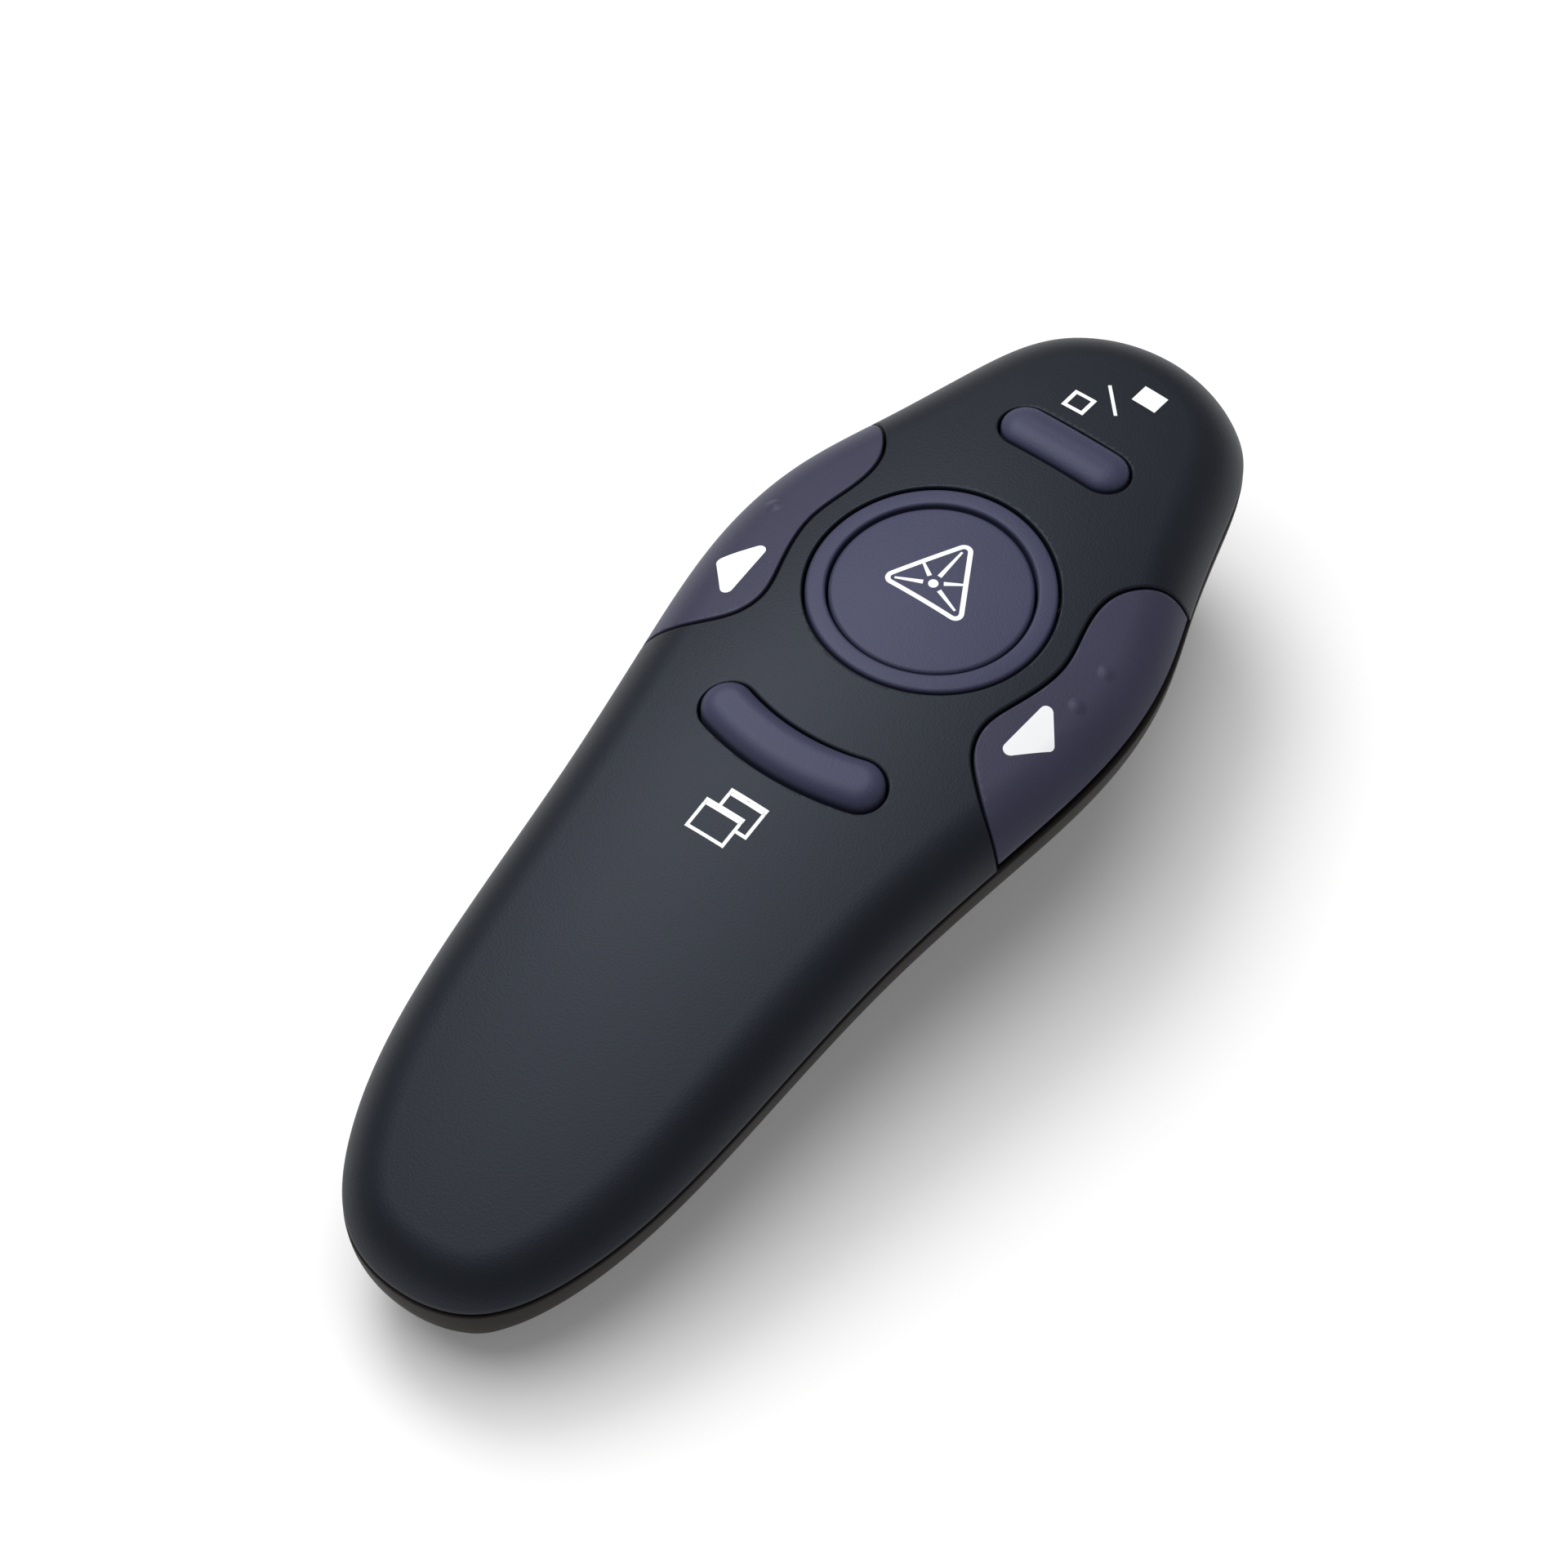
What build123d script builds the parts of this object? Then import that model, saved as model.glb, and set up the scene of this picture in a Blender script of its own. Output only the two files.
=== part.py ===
from build123d import *
import math
import os

# ---- sizes, millimetres -------------------------------------------------
# Plan outline of the body, right half, tail to nose; the left half mirrors it.
half_length = 52.5
outline_right = [
    (6.2, -50.9), (11.3, -44.0), (13.9, -34.5), (15.2, -22.0), (16.3, -9.4), (18.3, 4.0),
    (19.6, 16.0), (18.6, 24.5), (15.9, 32.3), (13.3, 40.5), (9.8, 48.2), (4.6, 51.7),
]
wall = 1.6
crown_top = 26.0           # height of the body at the centre key
crown_y = 17.5             # the centre key and its ring sit here
crown_r_long = 178.0
crown_r_across = 53.0
shoulder_r = 3.0
seam_top = 19.7            # highest point of the arched joint between the shells
seam_y = 25.9
seam_r = 286.0
seam_gap = 0.3
side_round_r = 9.0         # rounding of the lower shell below the seam
side_slope = 30.0          # degrees, inward lean of the lower shell
nose_slope_less = 16.0     # the lean is this much less at the nose
floor_round_r = 5.0
floor_meet = 80.0          # degrees from vertical where the rounding meets the floor
rise_y = 25.0              # the floor curves up towards the nose from here
rise_r = 42.0

key_gap = 0.2              # clearance round every key
key_travel = 0.5
fit = 0.05                 # clearance of parts that are only located by each other
ring_r = 10.5
ring_band = 1.9
dish = 0.4                 # the centre key lies this far below the crown
slot_key = (0.0, 36.1, 12.0, 4.2)      # x, y, length, width
arc_key_r = 19.65          # centreline radius about the centre key
arc_key_w = 4.4
arc_key_half = 19.0        # degrees from the middle to each end centre
key_proud = 1.1
flange = 0.8
# Inner boundary of the right wing key, front to rear.
wing_curve = [
    (22.0, 30.9), (16.8, 30.7), (14.8, 30.2), (13.15, 28.8), (11.95, 26.7), (11.7, 24.1),
    (12.15, 21.6), (12.75, 18.6), (12.5, 15.3), (11.65, 12.1), (11.15, 9.3), (11.85, 7.0),
    (13.5, 5.2), (15.5, 3.6), (17.5, 2.4), (22.0, 0.0),
]
wing_gap_below = 0.8       # open slit between wing key and lower shell

board_z = 16.3
board_thick = 1.0
board_rear = -7.0
board_front = 39.2
board_inset = 2.9
switch_size = 6.0
switch_height = 3.5
stem_r = 1.7
stem_height = 0.8
wing_switch_x = 13.2
wing_switch_y = 17.5

cell_r = 5.25
cell_length = 44.5
cell_x = 5.4
cell_z = 10.3
cell_rear = -33.6
bay_rear = -35.2
bay_front = 12.4
bay_wall = 1.2
bay_wall_top = 14.2
door_half_w = 11.4
door_gap = 0.2
door_rear_gap = 0.5
door_cut_z = 9.0
door_hinge_r = 0.6         # rounded front edge of the door, which it rocks on

receiver_w = 14.0
receiver_thick = 5.4
cap_length = 5.8
plug_length = 12.0
plug_w = 12.0
plug_thick = 4.5
receiver_rear = 15.4
receiver_z = 1.3
pocket_wall = 1.2

barrel_r = 3.0
barrel_bore = 2.2
barrel_rear = 40.2
barrel_length = 9.2
laser_z = 15.2
window_r = 2.5

screw_posts = [(5.5, 46.9, 12.0), (-5.5, 46.9, 12.0), (0.0, -44.4, 5.0)]   # x, y, seat height
screw_r = 1.0
screw_head_r = 1.8
screw_head_h = 1.4
post_r = 2.3
board_posts = [(11.6, 27.0), (-11.6, 27.0), (12.6, -4.0), (-12.6, -4.0)]
board_post_r = 1.7
board_screw_r = 0.8
board_screw_length = 4.0

power_y = 38.0
power_z = 15.1
power_travel = 2.0

above = 32.0               # height safely over everything

pts = [(0, -half_length)] + outline_right + [(0, half_length)]
pts += [(-x, y) for x, y in reversed(outline_right)]
outline = Edge.make_spline([Vector(x, y, 0) for x, y in pts], periodic=True)
board_top = board_z + board_thick
housing_top = board_top + switch_height
stem_top = housing_top + stem_height
pocket_x = receiver_w / 2 + key_gap
pocket_rear = receiver_rear - key_gap
pocket_front = receiver_rear + plug_length + cap_length + key_gap
pocket_top = receiver_z + receiver_thick + 0.3
cradle_w = 6.2
ring_low = housing_top + 1.3


# ---- the body envelope --------------------------------------------------
def seam_z(y):
    return seam_top - seam_r + math.sqrt(seam_r ** 2 - (y - seam_y) ** 2)


def floor_z(y):
    return 0.0 if y < rise_y else rise_r - math.sqrt(rise_r ** 2 - (y - rise_y) ** 2)


def crown_z(x, y):
    return (crown_top - (crown_r_across - math.sqrt(crown_r_across ** 2 - x ** 2))
            - (crown_r_long - math.sqrt(crown_r_long ** 2 - (y - crown_y) ** 2)))


def side_profile(y, ny):
    """Inset, depth below the seam and lean of the side wall: top edge, rounding, slope, foot."""
    meet = math.radians(floor_meet)
    lean = math.radians(side_slope - nose_slope_less * max(0.0, -ny) ** 2)
    k1 = side_round_r * (1 - math.cos(lean))
    h1 = side_round_r * math.sin(lean)
    k = 5.0
    for _ in range(12):
        depth = seam_z(y) - floor_z(y + ny * (k - 0.8)) + 0.25
        h2 = depth - floor_round_r * (math.sin(meet) - math.sin(lean))
        k2 = k1 + (h2 - h1) * math.tan(lean)
        k = k2 + floor_round_r * (math.cos(lean) - math.cos(meet))
    rows = [(0.0, seam_z(y) - above, 0.0)]
    for a in (0.0, lean / 2, lean):
        rows.append((side_round_r * (1 - math.cos(a)), side_round_r * math.sin(a), a))
    for a in (lean, lean + (meet - lean) * 0.35, lean + (meet - lean) * 0.7, meet):
        rows.append((k2 + floor_round_r * (math.cos(lean) - math.cos(a)),
                     h2 + floor_round_r * (math.sin(a) - math.sin(lean)), a))
    return rows


def side_rings(inset, levels, count):
    """Closed curves round the body, from above it to below it, moved inwards by inset."""
    columns = []
    for i in range(count):
        p = outline.position_at(i / count)
        d = outline.tangent_at(i / count)
        n = Vector(-d.Y, d.X, 0)
        rows = side_profile(p.Y, n.Y)
        column = [
            p + n * (k + inset * math.cos(a)) + Vector(0, 0, seam_z(p.Y) - h + inset * math.sin(a))
            for k, h, a in (rows[j] for j in levels)
        ]
        foot = column[-1] + n * 2
        columns.append(column + [Vector(foot.X, foot.Y, -2)])
    return [Wire([Edge.make_spline(list(ring), periodic=True)]) for ring in zip(*columns)]


def under_crown(inset):
    """Everything below the doubly curved top, a torus segment."""
    r = crown_r_across - inset
    hw = 24.0
    z = crown_top - crown_r_across + math.sqrt(r ** 2 - hw ** 2)
    axis = Axis((0, crown_y, crown_top - crown_r_long), (1, 0, 0))
    arc = ThreePointArc((-hw, crown_y, z), (0, crown_y, crown_top - inset), (hw, crown_y, z))
    sides = Polyline((hw, crown_y, z), (hw, crown_y, -60), (-hw, crown_y, -60), (-hw, crown_y, z))
    face = make_face([arc, sides]).rotate(axis, -30)
    return revolve(face, axis=axis, revolution_arc=60)


def over_floor(inset):
    """Everything above the floor, flat and then curving up to the nose."""
    r = rise_r - inset

    def at(deg):
        a = math.radians(deg)
        return (0, rise_y + r * math.sin(a), inset + r * (1 - math.cos(a)))

    edges = [
        Line((0, -60, inset), (0, rise_y, inset)),
        ThreePointArc(at(0), at(23), at(46)),
        Polyline(at(46), (0, 60, at(46)[2]), (0, 60, above), (0, -60, above), (0, -60, inset)),
    ]
    return extrude(make_face(edges), amount=30, both=True)


def envelope(inset, levels, count):
    """The whole body shrunk by inset, its sides in straight bands between the rings."""
    sides = Solid.make_loft(side_rings(inset, levels, count), ruled=True)
    return (sides & under_crown(inset) & over_floor(inset)).solids()[0]


def plan_prism(inset, low=-1.0, high=above):
    """The plan outline shrunk by inset, as a straight prism."""
    ring = []
    for i in range(48):
        p = outline.position_at(i / 48)
        d = outline.tangent_at(i / 48)
        ring.append(p + Vector(-d.Y, d.X, 0) * inset)
    face = make_face([Edge.make_spline(ring, periodic=True)]).face()
    return extrude(Pos(0, 0, low) * face, amount=high - low)


def under_seam(shift):
    """Everything below the arched seam moved up by shift."""
    return Pos(0, seam_y, seam_top - seam_r) * Rot(0, 90, 0) * Cylinder(seam_r + shift, 80)


def largest(shape):
    return max(shape.solids(), key=lambda s: s.bounding_box().diagonal)


def carve(shape, *tools):
    """Cut the tools out one after another; each result is healed and its largest piece kept."""
    for tool in tools:
        shape = largest(largest(shape - tool).fix())
    return shape


def join(shape, *tools):
    """Add the tools one after another, healing each result."""
    for tool in tools:
        shape = largest(largest(shape + tool).fix())
    return shape


def block(x0, x1, y0, y1, z0, z1):
    return Pos((x0 + x1) / 2, (y0 + y1) / 2, (z0 + z1) / 2) * Box(x1 - x0, y1 - y0, z1 - z0)


def rod(x, y, z0, z1, r):
    return Pos(x, y, (z0 + z1) / 2) * Cylinder(r, z1 - z0)


def rod_y(x, z, y0, y1, r):
    return Pos(x, (y0 + y1) / 2, z) * Rot(90, 0, 0) * Cylinder(r, y1 - y0)


def wing_region(grow):
    """Prism outside the inner boundary of the right wing key, grown inwards by grow."""
    line = Spline([(x, y) for x, y in wing_curve])
    count = 2 * len(wing_curve)
    moved = []
    for i in range(count + 1):
        d = line % (i / count)
        moved.append(line @ (i / count) + Vector(d.Y, -d.X, 0) * grow)
    curve = Spline(moved)
    edge = Polyline(curve @ 1, (30, (curve @ 1).Y), (30, (curve @ 0).Y), curve @ 0)
    return extrude(make_face([curve, edge]).face(), amount=above)


def slot_prism(grow, z0, z1):
    x, y, length, width = slot_key
    face = Pos(x, y, z0) * SlotOverall(length + 2 * grow, width + 2 * grow)
    return extrude(face, amount=z1 - z0)


def arc_prism(grow, z0, z1):
    """Bean shaped prism of the lower key, concentric with the centre key."""
    turn = math.radians(arc_key_half)
    ends = (arc_key_r * math.sin(turn), -arc_key_r * math.cos(turn))
    centre = ThreePointArc((-ends[0], ends[1]), (0, -arc_key_r), ends)
    face = SlotArc(centre, arc_key_w + 2 * grow)
    return Pos(0, crown_y, z0) * extrude(face, amount=z1 - z0)


outer = envelope(0.0, range(8), 36)
outer = fillet([e for e in outer.edges() if e.center().Z > 18.5], shoulder_r).solids()[0]
inner = envelope(wall, (0, 1, 3, 4, 7), 28)
upper_skin = (outer - under_seam(seam_gap / 2)) - (inner - under_seam(-0.5))
lower_skin = (outer & under_seam(-seam_gap / 2)) - (inner & under_seam(0.5))


# ---- shells -------------------------------------------------------------
def make_top_shell():
    shell = carve(
        upper_skin,
        rod(0, crown_y, 15, above, ring_r),
        slot_prism(key_gap, 15, above),
        arc_prism(key_gap, 15, above),
        wing_region(key_gap),
        mirror(largest(wing_region(key_gap)), about=Plane.YZ),
    )
    for x, y, seat in screw_posts:
        post = rod(x, y, seam_z(y) + seam_gap / 2, crown_z(x, y) - wall + 0.6, post_r)
        shell = join(shell, post - rod(x, y, 0, seam_z(y) + 3.0, screw_r))
    return shell


def wall_frame(y, z, first, last):
    """Place on the outline at y, between two fractions of its length: x outwards, y along it."""
    steps = [first + (last - first) * k / 500 for k in range(501)]
    u = min(steps, key=lambda v: abs(outline.position_at(v).Y - y))
    p = outline.position_at(u)
    d = outline.tangent_at(u)
    return Plane(origin=(p.X, p.Y, z), x_dir=(d.Y, -d.X, 0), z_dir=(0, 0, 1)).location


def make_inner_walls():
    """Battery bay ends, receiver pocket, laser cradle and screw posts of the lower shell."""
    walls = block(-20, 20, bay_rear - bay_wall, bay_rear, 0, bay_wall_top - 3.5)
    walls += block(-20, 20, bay_front, bay_front + bay_wall, 0, bay_wall_top)
    walls += block(-pocket_x - pocket_wall, pocket_x + pocket_wall, pocket_rear - pocket_wall,
                   pocket_front + pocket_wall, 0, pocket_top + pocket_wall)
    walls -= block(-pocket_x, pocket_x, pocket_rear, pocket_front, -1, pocket_top)
    walls += block(-cradle_w, cradle_w, barrel_rear + 1.0, barrel_rear + 4.2, 0, laser_z)
    walls -= rod_y(0, laser_z, barrel_rear - 1, barrel_rear + barrel_length, barrel_r + fit)
    for x, y in board_posts:
        walls += rod(x, y, 0, board_z, board_post_r)
        walls -= rod(x, y, board_top - board_screw_length - 0.5, board_z + 1, board_screw_r)
    for x, y, seat in screw_posts:
        walls += rod(x, y, 0, seam_z(y) - seam_gap / 2 - 0.1, post_r)
        walls -= rod(x, y, 0, seat, screw_head_r + 0.2) + rod(x, y, 0, above, screw_r + 0.1)
    return walls


def make_bottom_shell():
    cavity = (inner & under_seam(0.5)) - make_inner_walls()
    shell = largest((outer & under_seam(-seam_gap / 2)) - cavity)
    shell = carve(
        shell,
        block(-door_half_w - door_gap, door_half_w + door_gap, bay_rear, bay_front, -1, door_cut_z),
        block(-pocket_x, pocket_x, pocket_rear, pocket_front, -1, pocket_top),
        block(-4, 4, pocket_front - 0.5, pocket_front + 3.5, -1, 4.2),
        rod_y(0, laser_z, barrel_rear + barrel_length, half_length + 2, window_r + fit),
        wall_frame(power_y, power_z, 0.5, 1.0) * Pos(0, power_travel / 2, 0)
        * Box(8.0, 3.0 + power_travel + 0.4, 2.0),
    )
    for x, y, seat in screw_posts:
        shell = carve(shell, rod(x, y, -1, seat, screw_head_r + 0.2) + rod(x, y, 0, above, screw_r + 0.1))
    return shell


def make_battery_door():
    opening = block(-door_half_w, door_half_w, bay_rear + door_rear_gap, bay_front - door_gap,
                    -1, door_cut_z)
    door = largest(lower_skin & opening)
    for x in (-6, 6):
        door += block(x - 1.8, x + 1.8, bay_front - 3, bay_front - door_gap, wall - 0.2, wall + 0.8)
    door -= rod(0, bay_rear + 3.2, -1, 0.7, 2.6)
    front, r = bay_front - door_gap, door_hinge_r
    corner = block(-door_half_w - 1, door_half_w + 1, front - r, front + 1, -1, r)
    roller = Pos(0, front - r, r) * Rot(0, 90, 0) * Cylinder(r, 2 * door_half_w + 4)
    return largest(door - (corner - roller))


# ---- keys ---------------------------------------------------------------
def make_laser_ring():
    ring = rod(0, crown_y, ring_low, above, ring_r - fit) & outer
    ring += rod(0, crown_y, ring_low, ring_low + flange, ring_r + 0.7)
    return ring - rod(0, crown_y, 0, above, ring_r - ring_band)


def make_laser_key():
    r = ring_r - ring_band - key_gap
    low = ring_low - 0.7
    cap = rod(0, crown_y, low, above, r) & (Pos(0, 0, -dish) * outer)
    cap = fillet(cap.edges().filter_by(lambda e: e.center().Z > 23), 0.4)
    cap -= rod(0, crown_y, 0, crown_top - dish - 2.4, r - 1.3)
    cap += rod(0, crown_y, low, low + 0.6, r + 1.0) - rod(0, crown_y, 0, above, r - 1.3)
    cap += rod(0, crown_y, stem_top, crown_top - dish - 1.6, stem_r)
    return cap


def make_slot_key(prism, x, y):
    """A bean or pill key standing proud of the crown, with a flange under the shell."""
    top = crown_z(x, y) + key_proud
    low = crown_z(x, y) - wall - flange - 0.9
    cap = prism(0, low, top)
    cap = fillet(cap.faces().sort_by(Axis.Z)[-1].edges(), 1.3)
    cap -= prism(-1.0, 0, top - 2.2)
    cap += prism(0.9, low, low + flange) - prism(-1.0, low, low + flange)
    cap += rod(x, y, stem_top, top - 1.5, stem_r)
    return cap.solids()[0]


def make_wing_key(side):
    """Right or left wing key: a piece of the top skin, a post and a ledge under the shell."""
    key = largest((upper_skin & wing_region(0)) - under_seam(wing_gap_below))
    ledge = (wing_region(0.8) & under_crown(wall + 0.2)) + (wing_region(-0.2) & under_crown(wall - 0.3))
    ledge = ledge - wing_region(-0.8) - under_crown(wall + 0.9)
    key += ledge & block(0, 14.2, 8.5, 26.0, 0, above)
    post = rod(wing_switch_x, wing_switch_y, stem_top, above, stem_r)
    key += (post & outer & wing_region(0)) + (post & under_crown(wall + 0.2))
    key = largest(key)
    return key if side > 0 else largest(mirror(key, about=Plane.YZ))


switch_places = {
    "laser": (0.0, crown_y),
    "blank": (slot_key[0], slot_key[1]),
    "window": (0.0, crown_y - arc_key_r),
    "next": (wing_switch_x, wing_switch_y),
    "previous": (-wing_switch_x, wing_switch_y),
}


def make_switch_stem(x, y):
    return rod(x, y, housing_top - 1.2, stem_top, stem_r)


def make_switch_housings():
    parts = []
    for x, y in switch_places.values():
        body = Pos(x, y, (board_top + housing_top) / 2) * Box(switch_size, switch_size, switch_height)
        parts.append(body - rod(x, y, housing_top - 1.9, above, stem_r + 0.15))
    return Compound(children=[p.solids()[0] for p in parts])


# ---- electronics --------------------------------------------------------
def make_circuit_board():
    board = plan_prism(board_inset, board_z, board_top) & block(-30, 30, board_rear, board_front, 0, above)
    for x, y in board_posts:
        board -= rod(x, y, 0, above, board_screw_r + 0.2)
    return board.solids()[0]


def make_chip(x, y, lx, ly, h):
    return block(x - lx / 2, x + lx / 2, y - ly / 2, y + ly / 2, board_top, board_top + h)


def screw(x, y, seat, length, r, head_r, head_h, up=True):
    """Pan head screw standing on its seat; up means the shank points upwards."""
    s = 1 if up else -1

    def span(first, last):
        return sorted((seat - s * first, seat - s * last))

    head = rod(x, y, *span(0, head_h), head_r)
    slot = block(x - head_r * 0.6, x + head_r * 0.6, y - 0.2, y + 0.2, *span(head_h / 2, head_h))
    return (head - slot) + rod(x, y, *span(0, -length), r)


def make_cell(x):
    cell = rod_y(x, cell_z, cell_rear, cell_rear + cell_length - 0.8, cell_r)
    cell = fillet(cell.edges(), 0.4)
    tip = 1 if x > 0 else 0
    if tip:
        return cell + rod_y(x, cell_z, cell_rear + 1, cell_rear + cell_length, 1.9)
    return Pos(0, 0.8, 0) * cell + rod_y(x, cell_z, cell_rear, cell_rear + 2, 1.9)


def make_front_contacts():
    front = bay_front
    cup = cell_rear + cell_length
    plate = block(cell_x - 3.6, cell_x + 3.6, front - 0.5, front - 0.1, cell_z - 3.6, cell_z + 3.6)
    plate += rod_y(cell_x, cell_z, cup + 0.05, front - 0.4, 2.0)
    spring = rod_y(-cell_x, cell_z, cup + 0.1, front - 0.5, 2.6) - rod_y(-cell_x, cell_z, 0, 20, 2.1)
    back = block(-cell_x - 3.6, -cell_x + 3.6, front - 0.5, front - 0.1, cell_z - 3.6, cell_z + 3.6)
    return plate, spring + back


def make_bridge_contact():
    plate = block(-cell_x - 3.4, cell_x + 3.4, bay_rear + 0.1, bay_rear + 0.5, cell_z - 3.2, cell_z + 0.2)
    for x in (-cell_x, cell_x):
        plate += rod_y(x, cell_z - 1.4, bay_rear + 0.4, cell_rear - 0.05, 1.7)
    return plate


# ---- laser --------------------------------------------------------------
def make_laser_barrel():
    tube = rod_y(0, laser_z, barrel_rear, barrel_rear + barrel_length, barrel_r)
    tube -= rod_y(0, laser_z, barrel_rear - 1, barrel_rear + barrel_length + 1, barrel_bore)
    return tube - rod_y(0, laser_z, barrel_rear + barrel_length - 1.6, half_length, barrel_bore + 0.3)


def make_laser_diode():
    base = rod_y(0, laser_z, barrel_rear + 0.3, barrel_rear + 1.3, barrel_bore - fit)
    can = rod_y(0, laser_z, barrel_rear + 1.3, barrel_rear + 3.8, 1.6)
    pins = [rod_y(dx, laser_z + dz, barrel_rear - 0.1, barrel_rear + 0.4, 0.22)
            for dx, dz in ((-0.9, -0.5), (0.9, -0.5), (0, 0.9))]
    diode = base + can
    for pin in pins:
        diode += pin
    return diode


def make_laser_lens():
    end = barrel_rear + barrel_length
    lens = rod_y(0, laser_z, end - 1.5, end - 0.3, barrel_bore + 0.3 - fit)
    return fillet(lens.edges().sort_by(Axis.Y)[-1], 0.5)


def make_laser_board():
    return block(-3.2, 3.2, board_front + 0.1, board_front + 0.8, laser_z - 3.2, board_z - 0.2)


def make_laser_clamp():
    y0 = barrel_rear + 1.2
    y1 = barrel_rear + 4.0
    strap = rod_y(0, laser_z, y0, y1, barrel_r + 0.8) & block(-9, 9, 0, 60, laser_z + 0.02, above)
    strap += block(-6.2, 6.2, y0, y1, laser_z + 0.02, laser_z + 1.0)
    return strap - rod_y(0, laser_z, 0, 60, barrel_r + fit)


def make_nose_window():
    return rod_y(0, laser_z, half_length - 2.1, half_length - 1.0, window_r)


# ---- receiver and power switch -----------------------------------------
def make_receiver():
    mid_z = receiver_z + receiver_thick / 2
    y0 = receiver_rear
    y1 = y0 + plug_length
    y2 = y1 + cap_length
    cap = block(-receiver_w / 2, receiver_w / 2, y1, y2, receiver_z, receiver_z + receiver_thick)
    cap = fillet(cap.edges().filter_by(Axis.Z).group_by(Axis.Y)[-1], 2.2)
    cap = fillet(cap.faces().sort_by(Axis.Z)[0].edges() + cap.faces().sort_by(Axis.Z)[-1].edges(), 0.6)
    tube = block(-plug_w / 2, plug_w / 2, y0, y1 - fit, mid_z - plug_thick / 2, mid_z + plug_thick / 2)
    t = 0.35
    hollow = block(-plug_w / 2 + t, plug_w / 2 - t, y0 - 1, y1 - 0.6,
                   mid_z - plug_thick / 2 + t, mid_z + plug_thick / 2 - t)
    tube -= hollow
    for x in (-2.4, 2.4):
        tube -= block(x - 1.2, x + 1.2, y0 + 5.4, y0 + 7.6, mid_z, above)
        tube -= block(x - 1.2, x + 1.2, y0 + 5.4, y0 + 7.6, 0, mid_z)
    tongue = block(-5.5, 5.5, y0 + 0.4, y1 - 0.7, mid_z + 0.1, mid_z + 1.8)
    return cap, tube, tongue


def make_power_slider():
    knob = Pos(-2.55, 0, 0) * Box(4.4, 3.0, 1.5)
    return wall_frame(power_y, power_z, 0.5, 1.0) * knob


def make_power_body():
    body = Pos(-6.0, 1.0, 0) * Box(3.4, 8.4, 2.2)
    body -= Pos(-4.4, power_travel / 2, 0) * Box(1.4, 3.4 + power_travel, 1.7)
    return wall_frame(power_y, power_z, 0.5, 1.0) * body


def make_parts():
    plate, spring = make_front_contacts()
    cap, tube, tongue = make_receiver()
    parts = {
        "top_shell": make_top_shell(),
        "bottom_shell": make_bottom_shell(),
        "battery_door": make_battery_door(),
        "laser_ring": make_laser_ring(),
        "laser_key": make_laser_key(),
        "blank_key": make_slot_key(slot_prism, slot_key[0], slot_key[1]),
        "window_key": make_slot_key(arc_prism, 0.0, crown_y - arc_key_r),
        "next_key": make_wing_key(1),
        "previous_key": make_wing_key(-1),
        "switch_housings": make_switch_housings(),
        "circuit_board": make_circuit_board(),
        "radio_chip": make_chip(-5.5, 27.5, 5.0, 5.0, 0.9),
        "memory_chip": make_chip(5.5, 8.0, 5.0, 4.0, 1.2),
        "crystal": make_chip(5.5, 27.5, 4.6, 2.6, 1.1),
        "battery_left": make_cell(-cell_x),
        "battery_right": make_cell(cell_x),
        "plate_contact": plate,
        "spring_contact": spring,
        "bridge_contact": make_bridge_contact(),
        "laser_barrel": make_laser_barrel(),
        "laser_diode": make_laser_diode(),
        "laser_lens": make_laser_lens(),
        "laser_board": make_laser_board(),
        "laser_clamp": make_laser_clamp(),
        "nose_window": make_nose_window(),
        "receiver_cap": cap,
        "receiver_plug": tube,
        "receiver_tongue": tongue,
        "power_slider": make_power_slider(),
        "power_body": make_power_body(),
        "shell_screws": Compound(children=[
            screw(x, y, seat, seam_z(y) + 1.8 - seat, screw_r, screw_head_r, screw_head_h).solids()[0]
            for x, y, seat in screw_posts]),
        "board_screws": Compound(children=[
            screw(x, y, board_top, board_screw_length, board_screw_r, 1.4, 0.8, up=False).solids()[0]
            for x, y in board_posts]),
    }
    for name, (x, y) in switch_places.items():
        parts["stem_" + name] = make_switch_stem(x, y)
    return parts


os.makedirs("parts", exist_ok=True)
for name, shape in make_parts().items():
    shape.label = name
    export_step(shape, os.path.join("parts", name + ".step"))
    print(name, len(shape.solids()), round(shape.volume, 1), shape.is_valid)
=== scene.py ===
import math
import bmesh
import bpy
import numpy as np
from mathutils import Matrix, Vector


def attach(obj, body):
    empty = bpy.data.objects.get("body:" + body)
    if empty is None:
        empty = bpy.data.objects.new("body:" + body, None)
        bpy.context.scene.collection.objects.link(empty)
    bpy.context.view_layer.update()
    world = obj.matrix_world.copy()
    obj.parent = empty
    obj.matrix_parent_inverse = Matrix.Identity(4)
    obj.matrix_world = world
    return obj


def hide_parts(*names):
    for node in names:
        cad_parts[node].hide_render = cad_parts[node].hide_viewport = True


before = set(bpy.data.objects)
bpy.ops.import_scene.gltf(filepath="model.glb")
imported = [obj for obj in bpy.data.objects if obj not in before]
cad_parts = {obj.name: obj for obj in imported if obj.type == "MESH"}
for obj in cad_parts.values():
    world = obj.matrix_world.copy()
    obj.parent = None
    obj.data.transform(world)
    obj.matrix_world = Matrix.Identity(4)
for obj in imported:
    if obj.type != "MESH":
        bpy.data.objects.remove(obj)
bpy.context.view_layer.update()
mm = 0.001


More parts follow.
